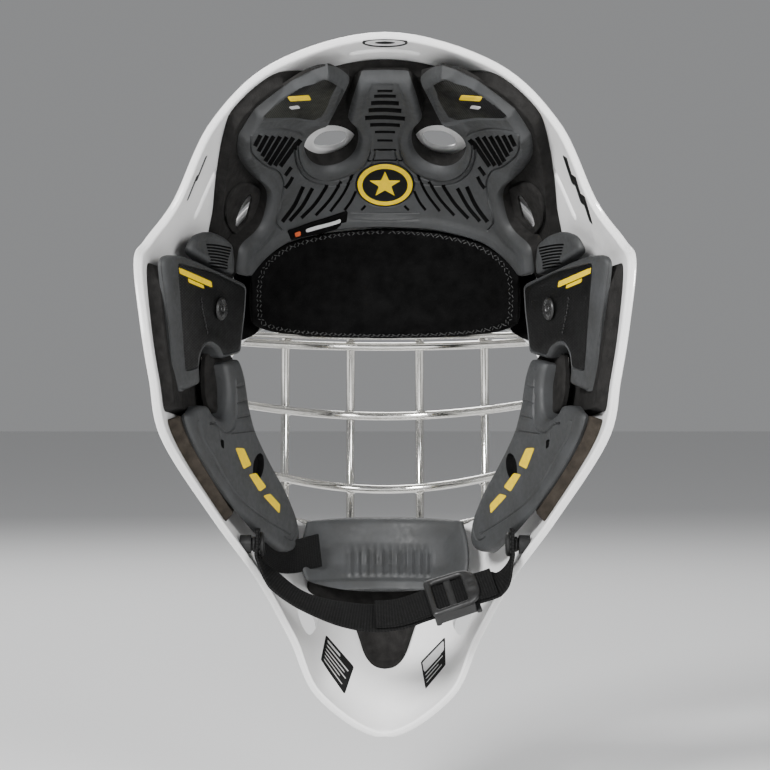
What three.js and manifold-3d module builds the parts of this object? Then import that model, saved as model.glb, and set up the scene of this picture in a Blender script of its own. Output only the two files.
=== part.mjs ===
// Ice hockey goalie mask: shell, wire cage, foam liners, moulded pads, chin cup and chin strap.
// Millimetres, +Z up. The cage faces -Y and the open back faces +Y. The origin is the centre of
// the wearer's head, level with the eyes. +X is the wearer's left.
import * as THREE from "three";
import { mergeVertices } from "three/addons/utils/BufferGeometryUtils.js";
import Module from "manifold-3d";

const wasm = await Module();
wasm.setup();
const mask = new THREE.Group();

// Driving dimensions
const SHELL_WALL = 4;
const LINER = 7; // thickness of the foam sheet glued inside the shell
const CROWN_PAD = 10.5; // thickness of the moulded crown pad
const GAP = 0.3; // clearance between pieces that lie against each other
const WIRE = 2.4; // radius of a cage wire
const BAR_SPACING = 39.5; // between the cage's upright wires
const STRAP_WIDTH = 19;
const STRAP_THICKNESS = 1.8;

// Pieces inside the mask are cut to patterns drawn as they look from behind: from a point EYE_Y
// behind the head, on the plane REAR_Y of the rearmost rim. +u is towards +X, +v is up.
const EYE_Y = 1355;
const REAR_Y = 55;

const v3 = (p) => new THREE.Vector3(...p);
const mirrorX = (points) => points.map(([x, ...rest]) => [-x, ...rest]);

// Materials
const paint = (color, roughness, metalness = 0) =>
  new THREE.MeshStandardMaterial({ color, roughness, metalness });
const WHITE = paint(0xe9e9e6, 0.3);
const CHROME = paint(0xd8d6cc, 0.15, 1);
const STEEL = paint(0x9a9a98, 0.35, 1);
const LINER_FOAM = paint(0x2b2a29, 0.9);
const COMFORT_FOAM = paint(0x3c352c, 0.95);
const MOULDED = paint(0x4c4d4e, 0.75);
const INLAY = paint(0x191b18, 0.6);
const TERRY = paint(0x0e0e0e, 0.95);
const WEBBING = paint(0x1d1d1e, 0.85);
const BUCKLE = paint(0x1a1b1b, 0.4);
const YELLOW = paint(0xe6c200, 0.5);

// ---- solids -------------------------------------------------------------------------------

function toSolid(geometry) {
  const bare = geometry.index ? geometry.toNonIndexed() : geometry.clone();
  bare.deleteAttribute("normal");
  bare.deleteAttribute("uv");
  const merged = mergeVertices(bare, 1e-4);
  const triangles = new Uint32Array(merged.index.array);
  const build = () =>
    new wasm.Manifold(
      new wasm.Mesh({
        numProp: 3,
        vertProperties: new Float32Array(merged.attributes.position.array),
        triVerts: triangles,
      }),
    );
  const solid = build();
  if (solid.volume() > 0) return solid;
  for (let i = 0; i < triangles.length; i += 3) {
    [triangles[i + 1], triangles[i + 2]] = [triangles[i + 2], triangles[i + 1]];
  }
  return build();
}

function toGeometry(solid) {
  const mesh = solid.getMesh();
  const geometry = new THREE.BufferGeometry();
  const positions = new Float32Array(mesh.vertProperties);
  geometry.setAttribute("position", new THREE.BufferAttribute(positions, 3));
  geometry.setIndex(new THREE.BufferAttribute(new Uint32Array(mesh.triVerts), 1));
  geometry.computeVertexNormals();
  return geometry;
}

function facets(points, triangles) {
  const geometry = new THREE.BufferGeometry();
  const flat = new Float32Array(points.flatMap((p) => [p.x, p.y, p.z]));
  geometry.setAttribute("position", new THREE.BufferAttribute(flat, 3));
  geometry.setIndex(triangles.flat());
  return toSolid(geometry);
}

// The largest body of a solid: cutting one piece by another can leave crumbs.
function largest(solid) {
  return solid.decompose().sort((a, b) => b.volume() - a.volume())[0];
}

function add(name, shape, material) {
  const geometry = shape.isBufferGeometry ? shape : toGeometry(largest(shape));
  const mesh = new THREE.Mesh(geometry, material);
  mesh.name = name;
  mask.add(mesh);
  return mesh;
}

// Makes a piece for the +X side and its mirror image for the -X side.
function addPair(name, solid, material) {
  const whole = largest(solid);
  add(`${name}_left`, whole, material);
  add(`${name}_right`, whole.mirror([1, 0, 0]), material);
}

// ---- shell surface ------------------------------------------------------------------------

// The shell is lofted from four closed rings: the edge of the face opening, two rings that bow
// the wall out, and the rear rim. Each ring lists its +X half, from the crown to the chin.
const FACE_EDGE = [
  [0, -129, 37], [34, -127, 36.5], [62, -116, 33], [78, -104, 26], [86, -94, 16], [90, -88, 6],
  [91, -85, -5], [90, -85, -17], [86, -88, -32], [75, -98, -54], [61, -111, -71],
  [45, -122, -82], [24, -131, -88], [0, -134, -90],
];
const FRONT_BOW = [
  [0, -142, 104], [40, -138, 98], [72, -124, 80], [90, -106, 58], [98, -92, 38], [103, -80, 20],
  [105, -72, 4], [104, -72, -14], [100, -76, -34], [86, -92, -62], [68, -108, -84],
  [50, -120, -100], [28, -131, -112], [0, -136, -115],
];
const REAR_BOW = [
  [0, -77, 169], [51, -66, 157], [85, -54, 128], [102, -42, 92], [111, -33, 70], [116, -25, 52],
  [118, -15, 28], [115, -15, 0], [109, -20, -28], [91, -50, -68], [72, -78, -98],
  [54, -92, -130], [36, -108, -160], [0, -118, -178],
];
const REAR_RIM = [
  [0, 28, 178], [55, 27, 163.5], [88, 24, 133.5], [107, 24, 93.5], [120.5, 38, 72.5],
  [124.5, 52, 61.5], [121, 55, 30], [117, 50, 2.5], [112, 36, -27.5], [89, -8, -70],
  [68.5, -42, -103], [51.5, -62, -137], [36.5, -76, -170.5], [0, -84, -193],
];
const HEAD = new THREE.Vector3(0, -20, 20); // pads grow from the shell towards this point
const NET = [FACE_EDGE, FRONT_BOW, REAR_BOW, REAR_RIM].map((half) => {
  const points = [...half, ...mirrorX(half.slice(1, -1)).reverse()].map(v3);
  return new THREE.CatmullRomCurve3(points, true, "catmullrom", 0.5);
});

// t runs once round the mask from the crown, s from the face opening (0) to the rear rim (1).
function shellPoint(t, s) {
  const [a, b, c, d] = NET.map((ring) => ring.getPoint(((t % 1) + 1) % 1));
  return new THREE.CubicBezierCurve3(a, b, c, d).getPoint(s);
}

function shellNormal(t, s) {
  const e = 1e-3;
  const along = shellPoint(t, Math.min(1, s + e)).sub(shellPoint(t, Math.max(0, s - e)));
  const round = shellPoint(t + e, s).sub(shellPoint(t - e, s));
  return round.cross(along).normalize();
}

// The point at depth under the shell's outer surface, measured square to that surface.
function underShell(t, s, depth) {
  const outer = shellPoint(t, s);
  const inward = HEAD.clone().sub(outer).normalize();
  const square = Math.max(0.5, -inward.dot(shellNormal(t, s)));
  return outer.addScaledVector(inward, depth / square);
}

const ROUND = 52; // facets round the mask
const ALONG = 9; // facets from the face opening to the rim
const ringOf = (s, depth) =>
  Array.from({ length: ROUND }, (_, i) => underShell(i / ROUND, s, depth));

// Joins rings of equal length into a closed surface; it is a torus, or is closed by two apexes.
function loft(rings, apexes) {
  const n = rings[0].length;
  const points = rings.flat();
  const triangles = [];
  const last = apexes ? rings.length - 1 : rings.length;
  for (let j = 0; j < last; j++)
    for (let i = 0; i < n; i++) {
      const [a, b] = [j * n + i, j * n + ((i + 1) % n)];
      const k = (j + 1) % rings.length;
      const [c, d] = [k * n + i, k * n + ((i + 1) % n)];
      // Splitting along the shorter diagonal keeps layers one above another parallel.
      if (points[a].distanceTo(points[d]) < points[b].distanceTo(points[c]))
        triangles.push([a, b, d], [a, d, c]);
      else triangles.push([a, b, c], [b, d, c]);
    }
  if (apexes) {
    points.push(...apexes);
    const [first, final] = [points.length - 2, points.length - 1];
    const top = (rings.length - 1) * n;
    for (let i = 0; i < n; i++) {
      const j = (i + 1) % n;
      triangles.push([first, j, i], [final, top + i, top + j]);
    }
  }
  return facets(points, triangles);
}

const steps = Array.from({ length: ALONG + 1 }, (_, j) => j / ALONG);
const FRONT_APEX = new THREE.Vector3(0, -146, -30);
const REAR_APEX = new THREE.Vector3(0, 66, 0);

// The space inside the mask that lies at least depth under the shell's inner face.
const cavities = new Map();
function cavity(depth) {
  if (!cavities.has(depth)) {
    const rings = steps.map((s) => ringOf(s, SHELL_WALL + depth));
    cavities.set(depth, loft(rings, [FRONT_APEX, REAR_APEX]));
  }
  return cavities.get(depth);
}
const layer = (outer, inner) => cavity(outer).subtract(cavity(inner));

// ---- patterns -----------------------------------------------------------------------------

// The point at height y on the line of sight through (u, v) of the pattern plane.
function fromBehind(u, v, y) {
  const scale = (EYE_Y - y) / (EYE_Y - REAR_Y);
  return new THREE.Vector3(u * scale, y, v * scale);
}

// A solid between two copies of an outline, given the points of its near and far faces.
function slab(outline, near, far) {
  const flat = outline.map(([u, v]) => new THREE.Vector2(u, v));
  if (THREE.ShapeUtils.isClockWise(flat))
    return slab([...outline].reverse(), [...near].reverse(), [...far].reverse());
  const faces = THREE.ShapeUtils.triangulateShape(flat, []);
  const n = outline.length;
  const triangles = faces.flatMap(([a, b, c]) => [[a, b, c], [a + n, c + n, b + n]]);
  outline.forEach((_, i) => {
    const j = (i + 1) % n;
    triangles.push([i, i + n, j + n], [i, j + n, j]);
  });
  return facets([...near, ...far], triangles);
}

// The outline pushed along the lines of sight, from depth y0 to depth y1.
const sightPrism = (outline, y0 = 62, y1 = -150) =>
  slab(
    outline,
    outline.map(([u, v]) => fromBehind(u, v, y0)),
    outline.map(([u, v]) => fromBehind(u, v, y1)),
  );

// A block whose face is the outline laid on a sloping face, y = depthAt(u, v). It reaches from
// `lift` in front of that face (towards the head) to `thickness` behind it, square to the face.
function faceBlock(outline, depthAt, lift, thickness, square) {
  const face = outline.map(([u, v]) => fromBehind(u, v, depthAt(u, v)));
  const push = (by) => face.map((p) => p.clone().addScaledVector(square, by));
  return slab(outline, push(-lift), push(thickness));
}

// The direction square to a sloping face at (u, v), pointing away from the head.
function squareTo(depthAt, u, v) {
  const at = (du, dv) => fromBehind(u + du, v + dv, depthAt(u + du, v + dv));
  const square = at(1, 0).sub(at(0, 0)).cross(at(0, 1).sub(at(0, 0))).normalize();
  return square.x < 0 ? square.negate() : square;
}

const bothSides = (half) => [...half, ...mirrorX(half.slice(1, -1)).reverse()];

// ---- shell with its vents -----------------------------------------------------------------

// A stadium-shaped cutter through the wall at (t, s), turned by `turn` about the wall's normal.
function ventCutter(t, s, length, width, turn, inside = 3 * SHELL_WALL) {
  const half = length / 2 - width / 2;
  const shape = new THREE.Shape();
  shape.absarc(half, 0, width / 2, -Math.PI / 2, Math.PI / 2);
  shape.absarc(-half, 0, width / 2, Math.PI / 2, 1.5 * Math.PI);
  const cutter = new THREE.ExtrudeGeometry(shape, {
    depth: inside + 2 * SHELL_WALL, bevelEnabled: false, curveSegments: 6,
  });
  const out = shellNormal(t, s);
  const side = shellPoint(t + 0.01, s).sub(shellPoint(t - 0.01, s)).normalize();
  side.applyAxisAngle(out, turn);
  const basis = new THREE.Matrix4().makeBasis(side, out.clone().cross(side), out);
  const origin = shellPoint(t, s).addScaledVector(out, -inside);
  return toSolid(cutter.applyMatrix4(basis).translate(...origin.toArray()));
}

// t, s, length, width, turn of each vent on the +X side
const VENTS = [
  [0.024, 0.575, 19.5, 14.5, 0.3], // forehead
  [0.098, 0.79, 34, 4.5, 0], // slot beside the temple
  [0.083, 0.49, 26, 6.5, 0], // above the ear
  [0.44, 0.625, 21.5, 17, 1.72], // chin
];
const cutters = VENTS.flatMap(([t, s, length, width, turn]) => [
  ventCutter(t, s, length, width, turn),
  ventCutter(1 - t, s, length, width, -turn),
]);
cutters.push(ventCutter(0, 0.93, 36, 4.2, 0)); // crown slot

// ---- fasteners through or on the shell ----------------------------------------------------

// A solid of revolution about the shell's normal at (t, s). The profile lists [radius, height],
// with height 0 on the shell's outer face.
function turned(profile, origin, axis, sides = 16) {
  const lathe = new THREE.LatheGeometry(profile.map((p) => new THREE.Vector2(...p)), sides);
  const turn = new THREE.Quaternion().setFromUnitVectors(new THREE.Vector3(0, 1, 0), axis);
  return toSolid(lathe.applyQuaternion(turn).translate(...origin.toArray()));
}
const turnedOnShell = (profile, t, s) => turned(profile, shellPoint(t, s), shellNormal(t, s));

// Everything within the shell's outer face, and a hair beyond it
const outside = loft(steps.map((s) => ringOf(s, -GAP)), [FRONT_APEX, REAR_APEX]);

const CLIP_SCREWS = [[0.05, 0.17], [0.2, 0.2], [0.435, 0.25]]; // [t, s] on the +X side
const SCREW_HOLE = [[0, -12], [2.6, -12], [2.6, 6], [0, 6]];
const mirrored = (solid) => solid.mirror([1, 0, 0]);

// ---- chin strap's hinge -------------------------------------------------------------------

const HINGE_Y = -36;
const HINGE_Z = -84;
const STRAP_END_X = 67;

// ---- shell ---------------------------------------------------------------------------------

for (const [t, s] of CLIP_SCREWS) {
  const hole = turnedOnShell(SCREW_HOLE, t, s);
  cutters.push(hole, mirrored(hole));
}
const shell = cutters.reduce(
  (solid, cutter) => solid.subtract(cutter),
  loft(
    [...steps.map((s) => ringOf(s, 0)), ...steps.map((s) => ringOf(s, SHELL_WALL)).reverse()],
    null,
  ),
);
add("shell", shell, WHITE);

// ---- wire cage -----------------------------------------------------------------------------

const WELD = 0.5; // clearance between crossing wires
const FRAME_S = 0.075; // how far outside the face opening's edge the frame wire runs

const framePoint = (t) => underShell(t, FRAME_S, -(WIRE + WELD));

function frameWire(radius) {
  const count = 52;
  const rings = Array.from({ length: count }, (_, i) => {
    const t = i / count;
    const along = framePoint(t + 0.004).sub(framePoint(t - 0.004)).normalize();
    const up = shellNormal(t, FRAME_S);
    const side = along.clone().cross(up).normalize();
    return Array.from({ length: 8 }, (_, k) => {
      const turn = (k * Math.PI) / 4;
      return framePoint(t)
        .addScaledVector(up, radius * Math.cos(turn))
        .addScaledVector(side, radius * Math.sin(turn));
    });
  });
  return loft(rings, null);
}
const frame = frameWire(WIRE);
const frameRoom = frameWire(WIRE + GAP);
add("cage_frame_wire", frame, CHROME);

// The frame wire's point at height z on the +X side
function frameAtHeight(z) {
  let [high, low] = [0, 0.5];
  for (let i = 0; i < 24; i++) {
    const middle = (high + low) / 2;
    if (framePoint(middle).z > z) high = middle;
    else low = middle;
  }
  return framePoint((high + low) / 2);
}

// Depth of the cage's bowed face at (x, z)
function cageDepth(x, z) {
  const edge = frameAtHeight(z);
  const middle = -166 + 34 * Math.abs((z + 24) / 74) ** 2.4;
  const share = Math.min(1, Math.abs(x) / edge.x) ** 2.4;
  return middle + (edge.y - middle) * share;
}

function bentWire(points, radius, bends) {
  const round = new THREE.Shape().absarc(0, 0, radius, 0, 2 * Math.PI);
  return toSolid(
    new THREE.ExtrudeGeometry(round, {
      steps: bends,
      curveSegments: 4,
      bevelEnabled: false,
      extrudePath: new THREE.CatmullRomCurve3(points, false, "centripetal"),
    }),
  );
}

// name, height in the middle, rise towards the ends, wire radius
const CROSS_WIRES = [
  ["brow", 27.5, 1, 1.5],
  ["eye_upper", 22, 2.5, WIRE],
  ["eye_lower", -18, 11, WIRE],
  ["mouth", -60, 18, WIRE],
  ["chin", -84, 14, WIRE],
];
for (const [name, middle, rise, radius] of CROSS_WIRES) {
  const reach = frameAtHeight(middle + rise).x;
  const points = Array.from({ length: 13 }, (_, i) => {
    const x = ((i - 6) / 6) * reach;
    const z = middle + rise * (x / reach) ** 2;
    return new THREE.Vector3(x, cageDepth(x, z), z);
  });
  add(`cage_cross_wire_${name}`, bentWire(points, radius, 16).subtract(frameRoom), CHROME);
}

// The direction out of the cage's face at (x, z)
function cageOut(x, z) {
  const slopeX = cageDepth(x + 0.5, z) - cageDepth(x - 0.5, z);
  const slopeZ = cageDepth(x, z + 0.5) - cageDepth(x, z - 0.5);
  return new THREE.Vector3(slopeX, -1, slopeZ).normalize();
}

// The uprights lie outside the cross wires and the frame wire.
const uprightX = (x, z) => (x > BAR_SPACING && z < -40 ? x - 0.0009 * (z + 40) ** 2 : x);

// The point outside the frame wire where an upright at x is welded to it, at the brow or the chin
function weldPoint(x, atBrow) {
  let [near, far] = atBrow ? [0, 0.25] : [0.5, 0.25];
  for (let i = 0; i < 24; i++) {
    const middle = (near + far) / 2;
    if (framePoint(middle).x < x) near = middle;
    else far = middle;
  }
  return framePoint(near).addScaledVector(shellNormal(near, FRAME_S), 2 * WIRE + WELD);
}

// Where each crosses the face that the cross wires lie on: it stands outside it and further out.
const UPRIGHTS = [["inner", BAR_SPACING / 2 - 0.9], ["outer", 1.5 * BAR_SPACING - 5.9]];
for (const [name, x] of UPRIGHTS) {
  const top = weldPoint(x, true);
  const foot = weldPoint(uprightX(x, -80), false);
  const between = Array.from({ length: 11 }, (_, i) => {
    const z = top.z - 6 + ((foot.z - top.z + 12) * i) / 10;
    const across = uprightX(x, z);
    const face = new THREE.Vector3(across, cageDepth(across, z), z);
    return face.addScaledVector(cageOut(across, z), 2 * WIRE + WELD);
  });
  const upright = bentWire([top, ...between, foot], WIRE, 16);
  addPair(`cage_upright_${name}`, upright.subtract(outside), CHROME);
}

// Clips: a saddle over the frame wire with a tongue that a screw holds to the shell
const CLIP_NAMES = ["brow", "cheek", "chin"];
CLIP_SCREWS.forEach(([t, s], i) => {
  const [seat, up] = [shellPoint(t, s), shellNormal(t, s)];
  const wirePoint = framePoint(t);
  const reach = wirePoint.clone().sub(seat);
  const toWire = reach.clone().addScaledVector(up, -reach.dot(up)).normalize();
  const along = up.clone().cross(toWire).normalize();
  const basis = new THREE.Matrix4().makeBasis(along, toWire, up);
  const box = (width, length, height, y, z) =>
    toSolid(
      new THREE.BoxGeometry(width, length, height)
        .translate(0, y, z)
        .applyMatrix4(basis)
        .translate(...seat.toArray()),
    );
  const span = reach.dot(toWire);
  const rise = reach.dot(up);
  const tongue = box(11, span + 5, 3.4, (span - 5) / 2, 0.8);
  const saddle = box(11, 2 * WIRE + 3.4, WIRE + 3.6, span, rise + 1.2);
  const bore = turned([[0, -12], [2.6, -12], [2.6, 9], [0, 9]], seat, up);
  const clip = tongue.add(saddle).subtract(outside).subtract(frameRoom).subtract(bore);
  addPair(`cage_clip_${CLIP_NAMES[i]}`, clip, STEEL);
  const screw = turned(
    [
      [0, -SHELL_WALL - 3.6], [4.6, -SHELL_WALL - 3.6], [4.6, -SHELL_WALL - 2.2],
      [2.2, -SHELL_WALL - 2.2], [2.2, 2.9], [4.4, 2.9], [4.4, 5], [3.6, 5.6], [0, 5.6],
    ],
    seat,
    up,
    12,
  );
  addPair(`cage_screw_${CLIP_NAMES[i]}`, screw, STEEL);
});

// ---- foam sheets glued to the shell --------------------------------------------------------

// A sheet of foam under the shell's inner face, from t0 to t1 round the mask and from sFront to
// sRear along it, lying between two depths. sRear is a number or a function of t.
function foamSheet(t0, t1, sFront, sRear, near, far) {
  const cellsRound = Math.ceil((t1 - t0) * ROUND);
  const cellsAlong = 4;
  const face = (depth) =>
    Array.from({ length: cellsAlong + 1 }, (_, j) =>
      Array.from({ length: cellsRound + 1 }, (_, i) => {
        const t = t0 + ((t1 - t0) * i) / cellsRound;
        const edge = typeof sRear === "function" ? sRear(t) : sRear;
        const s = sFront + ((edge - sFront) * j) / cellsAlong;
        return underShell(t, s, SHELL_WALL + depth);
      }),
    );
  const rows = [...face(near - 3), ...face(far + 3).reverse()];
  const n = cellsRound + 1;
  const triangles = [];
  rows.forEach((_, j) => {
    const k = (j + 1) % rows.length;
    for (let i = 0; i < cellsRound; i++) {
      const [a, b, c, d] = [j * n + i, j * n + i + 1, k * n + i, k * n + i + 1];
      triangles.push([a, b, d], [a, d, c]);
    }
  });
  for (let j = 0; j < cellsAlong; j++) {
    const opposite = rows.length - 1 - j;
    for (const i of [0, cellsRound]) {
      const [a, b] = [j * n + i, (j + 1) * n + i];
      const [c, d] = [opposite * n + i, (opposite - 1) * n + i];
      triangles.push(...(i ? [[a, d, b], [a, c, d]] : [[a, b, d], [a, d, c]]));
    }
  }
  return facets(rows.flat(), triangles).intersect(layer(near, far));
}

const ellipse = (u, v, a, b, count = 20) =>
  Array.from({ length: count }, (_, i) => {
    const turn = (2 * Math.PI * i) / count;
    return [u + a * Math.cos(turn), v + b * Math.sin(turn)];
  });

// The forehead vents go on through the liner and the crown pad.
const padVents = [26.4, -26.4].map((u) => sightPrism(ellipse(u, 117, 13.6, 10.8)));
const cutAll = (solid, tools) => tools.reduce((whole, tool) => whole.subtract(tool), solid);

// The crown's sheet stops short of the slots in the shell: [t, s] of its rear edge
const CROWN_EDGE = [
  [0, 0.885], [0.025, 0.885], [0.04, 0.985], [0.068, 0.985], [0.083, 0.83], [0.1, 0.68],
  [0.127, 0.56], [0.145, 0.62], [0.158, 0.74], [0.2, 0.78],
];
function crownEdge(t) {
  const i = CROWN_EDGE.findIndex(([at]) => at >= Math.abs(t));
  if (i <= 0) return CROWN_EDGE[0][1];
  const [[t0, s0], [t1, s1]] = [CROWN_EDGE[i - 1], CROWN_EDGE[i]];
  return s0 + ((s1 - s0) * (Math.abs(t) - t0)) / (t1 - t0);
}
const CROWN_SHEET = [-0.168, 0.168, 0.38, crownEdge];
const earVent = ventCutter(...VENTS[2], 26);
padVents.push(earVent, mirrored(earVent));
add("liner_crown", cutAll(foamSheet(...CROWN_SHEET, GAP, LINER), padVents), LINER_FOAM);
addPair("liner_side", foamSheet(0.185, 0.292, 0.42, 0.955, GAP, LINER - 1), LINER_FOAM);

// A cylinder about the hinge line, from x0 to x1
const hingeAt = (x) => new THREE.Vector3(x, HINGE_Y, HINGE_Z);
const inward = new THREE.Vector3(-1, 0, 0);
const aboutHinge = (radius, x0, x1) =>
  turned([[0, -x1], [radius, -x1], [radius, -x0], [0, -x0]], hingeAt(0), inward, 20);
addPair(
  "liner_jaw",
  foamSheet(0.297, 0.352, 0.42, 0.93, GAP, LINER - 1)
    .subtract(aboutHinge(5.6, 50, 100))
    .subtract(aboutHinge(14, 50, 71.5)),
  COMFORT_FOAM,
);

// ---- moulded pads --------------------------------------------------------------------------

const CROWN_HALF = [
  [0, 154.5], [11.1, 154.5], [12, 150.5], [15.6, 139.7], [18.5, 129], [14, 125.7], [12.5, 120.8],
  [13.6, 115], [16.8, 110.5], [22.2, 107.2], [29.6, 105.8], [35.3, 107.8], [38.6, 112.2],
  [39.3, 117.1], [37.4, 121.6], [32.9, 125.3], [27.9, 127.5], [16.8, 149], [20, 152.5],
  [29.6, 157.6], [46, 149.5], [64.1, 135.6], [72.3, 122.4], [72.3, 111.7], [64.9, 102],
  [57.3, 96.1], [56.7, 89.6], [60, 76.4], [70.5, 67.5], [71.5, 56], [67.8, 55], [63.3, 62.5],
  [55.9, 68.2], [47.6, 72.8], [33, 76.4], [17, 78.5], [0, 78.8],
];
const crownPad = cutAll(
  sightPrism(bothSides(CROWN_HALF)).intersect(
    foamSheet(-0.17, 0.17, 0.1, 0.865, LINER + GAP, LINER + CROWN_PAD),
  ),
  padVents,
);
add("crown_pad", crownPad, MOULDED);

// A thin piece lying on the crown pad, from one height above it to another
const onCrown = (outline, from, to) =>
  sightPrism(outline).intersect(
    foamSheet(-0.17, 0.17, 0.1, 0.855, LINER + CROWN_PAD + from, LINER + CROWN_PAD + to),
  );

const CROWN_INLAY = [
  [29.6, 150.4], [20.1, 146.7], [27.7, 128], [44.4, 130.6], [59.2, 130.2], [61, 133], [52.6, 141.8],
  [41, 148],
];
addPair("crown_inlay", onCrown(CROWN_INLAY, GAP, 1.2), INLAY);
add("crown_badge", onCrown(ellipse(0, 98.6, 14.5, 11), GAP, 1.6), YELLOW);
add("woven_tag", onCrown([[48.3, 76], [18.7, 86], [19.5, 80.5], [47.3, 74.2]], GAP, 1), TERRY);

const TEMPLE_FOAM = [
  [64.5, 99], [71, 99], [77, 92], [78, 81], [75, 75], [69, 71], [61, 78], [58, 90], [58.8, 95],
];
addPair(
  "temple_foam",
  sightPrism(TEMPLE_FOAM)
    .intersect(foamSheet(0.06, 0.17, 0.1, 0.865, LINER + GAP, LINER + 5))
    .subtract(crownPad)
    .subtract(earVent),
  COMFORT_FOAM,
);

const sheetRoom = foamSheet(...CROWN_SHEET, -2, LINER + GAP);
const SWEAT_HALF = [
  [0, 77.5], [17.7, 76.9], [34, 74.4], [47.3, 70.8], [56, 66], [62, 61], [66.2, 54], [67, 42],
  [66, 29], [52.3, 25], [26, 23], [0, 22.5],
];
const sweatBlock = sightPrism(bothSides(SWEAT_HALF)).intersect(layer(4, 17));
add("sweat_pad", cutAll(sweatBlock, [crownPad, sheetRoom]), TERRY);

// Grows an outline by a margin, so that a neighbour cut with it keeps clear.
function grow(outline, margin) {
  const flat = outline.map(([u, v]) => new THREE.Vector2(u, v));
  const sign = THREE.ShapeUtils.isClockWise(flat) ? -1 : 1;
  return flat.map((p, i) => {
    const before = flat[(i + flat.length - 1) % flat.length];
    const after = flat[(i + 1) % flat.length];
    const along = after.clone().sub(before).normalize();
    return [p.x + sign * margin * along.y, p.y - sign * margin * along.x];
  });
}

// The side and jaw pads are foam blocks whose faces slope forward towards the cheek.
const sideDepth = (u, v) => 40 - 2.2 * (109 - u) + 0.1 * (v - 30);
const jawDepth = (u, v) => -190 + 2.1 * u - 0.25 * v;
const sideSquare = squareTo(sideDepth, 88, 30);
const jawSquare = squareTo(jawDepth, 70, -40);
const SIDE_PAD_THICKNESS = 22;
const JAW_PAD_THICKNESS = 20;

const SIDE_PAD = [
  [109, 62], [106, 64], [95.5, 63], [83, 57.2], [68.5, 49], [69.5, 35], [71, 15.8], [79.3, 13],
  [81.5, 16.8], [86.5, 19.5], [89, 14], [90.2, 8], [90, 0], [98.5, -4], [103.5, -3], [106, 30],
];
const sideBlock = (margin, lift, thickness) =>
  faceBlock(margin ? grow(SIDE_PAD, margin) : SIDE_PAD, sideDepth, lift, thickness, sideSquare);
const sidePad = sideBlock(0, 0, SIDE_PAD_THICKNESS).intersect(cavity(LINER + GAP));
addPair("side_pad", sidePad, MOULDED);

const TEMPLE_PAD = [
  [96, 66], [94, 73.5], [85.5, 76], [79, 73], [74, 69], [73, 60], [73.5, 53.5], [84.8, 59.3],
];
const templeDepth = (u, v) => sideDepth(u, v) - 9;
const templePad = faceBlock(TEMPLE_PAD, templeDepth, 0, 30, sideSquare)
  .intersect(foamSheet(0.1, 0.25, 0.05, 0.97, GAP, 40))
  .subtract(sideBlock(1, 12, 60))
  .subtract(foamSheet(0.18, 0.3, 0.4, 1, -2, LINER));
addPair("temple_pad", cutAll(templePad, [sheetRoom, crownPad]), INLAY);

const onSide = (outline, from, to) => faceBlock(outline, sideDepth, to, -from, sideSquare);
const SIDE_PANEL = [
  [102, 60.5], [83, 55.5], [69, 47.5], [71.3, 17], [78.8, 14.6], [81, 18.6], [86.5, 22.4],
  [90.3, 15], [91, 8.5], [97.8, 6.5],
];
addPair("side_panel", onSide(SIDE_PANEL, GAP, 1.4), INLAY);
const DISC = [[0, 0], [6, 0], [6, 1], [5, 2], [2.6, 2], [2.6, 1.4], [0, 1.4]];
const discSeat = fromBehind(80.4, 37.5, sideDepth(80.4, 37.5));
discSeat.addScaledVector(sideSquare, -1.4 - 2 * GAP);
addPair("side_snap", turned(DISC, discSeat, sideSquare.clone().negate(), 20), BUCKLE);

const JAW_PAD = [
  [71, 13.4], [68.5, 9.9], [66.6, -5], [65, -16.8], [60.6, -28.1], [54.2, -39], [47.8, -50.3],
  [41.6, -67], [40.6, -76], [44.9, -82.3], [50.8, -80.9], [65.6, -67.5], [85.8, -41.9],
  [95.1, -23.2], [98.2, -14.5], [89.7, -11.8], [84, -9], [80, -3], [78.6, 4],
  [78.6, 11],
];
const jawPad = faceBlock(JAW_PAD, jawDepth, 0, JAW_PAD_THICKNESS, jawSquare)
  .intersect(cavity(LINER + GAP))
  .subtract(sideBlock(0.8, 12, 60))
  .subtract(aboutHinge(13.2, 60, 100));
addPair("jaw_pad", jawPad, MOULDED);

// ---- chin ----------------------------------------------------------------------------------

// The chin foam is glued in the bottom of the shell.
const CHIN_FOAM = [
  [0, -86], [34, -90], [36, -100], [17, -116], [11.5, -134], [6, -138.5], [0, -139.5],
];
const nutRoom = turnedOnShell([[0, -14], [5.2, -14], [5.2, 0], [0, 0]], ...CLIP_SCREWS[2]);
add(
  "chin_foam",
  cutAll(sightPrism(bothSides(CHIN_FOAM)).intersect(layer(GAP, 5.5)), [nutRoom, mirrored(nutRoom)]),
  LINER_FOAM,
);

// The chin cup is a curved pad, dished from side to side, that leans back at its foot.
const CUP_THICKNESS = 11;
const cupDepth = (x, z) => -116 + 0.5 * (-z - 76) + 0.011 * x * x;
const CUP_ROWS = [[-74, 43], [-82, 45], [-92, 45.5], [-102, 43], [-110, 36], [-114, 26]];

function cupFace(push) {
  return CUP_ROWS.map(([z, half]) =>
    Array.from({ length: 11 }, (_, i) => {
      const x = half * (i / 5 - 1);
      return new THREE.Vector3(x, cupDepth(x, z) - push, z);
    }),
  );
}

const middleOf = (ring) =>
  ring.reduce((sum, p) => sum.add(p), new THREE.Vector3()).divideScalar(ring.length);
const closedLoft = (rings) => loft(rings, [middleOf(rings[0]), middleOf(rings[rings.length - 1])]);

const [cupBack, cupFront] = [cupFace(0), cupFace(CUP_THICKNESS)];
const cupRings = cupBack.map((row, j) => [...row, ...cupFront[j].reverse()]);
add("chin_cup", closedLoft(cupRings), MOULDED);

// ---- chin strap ----------------------------------------------------------------------------

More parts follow.
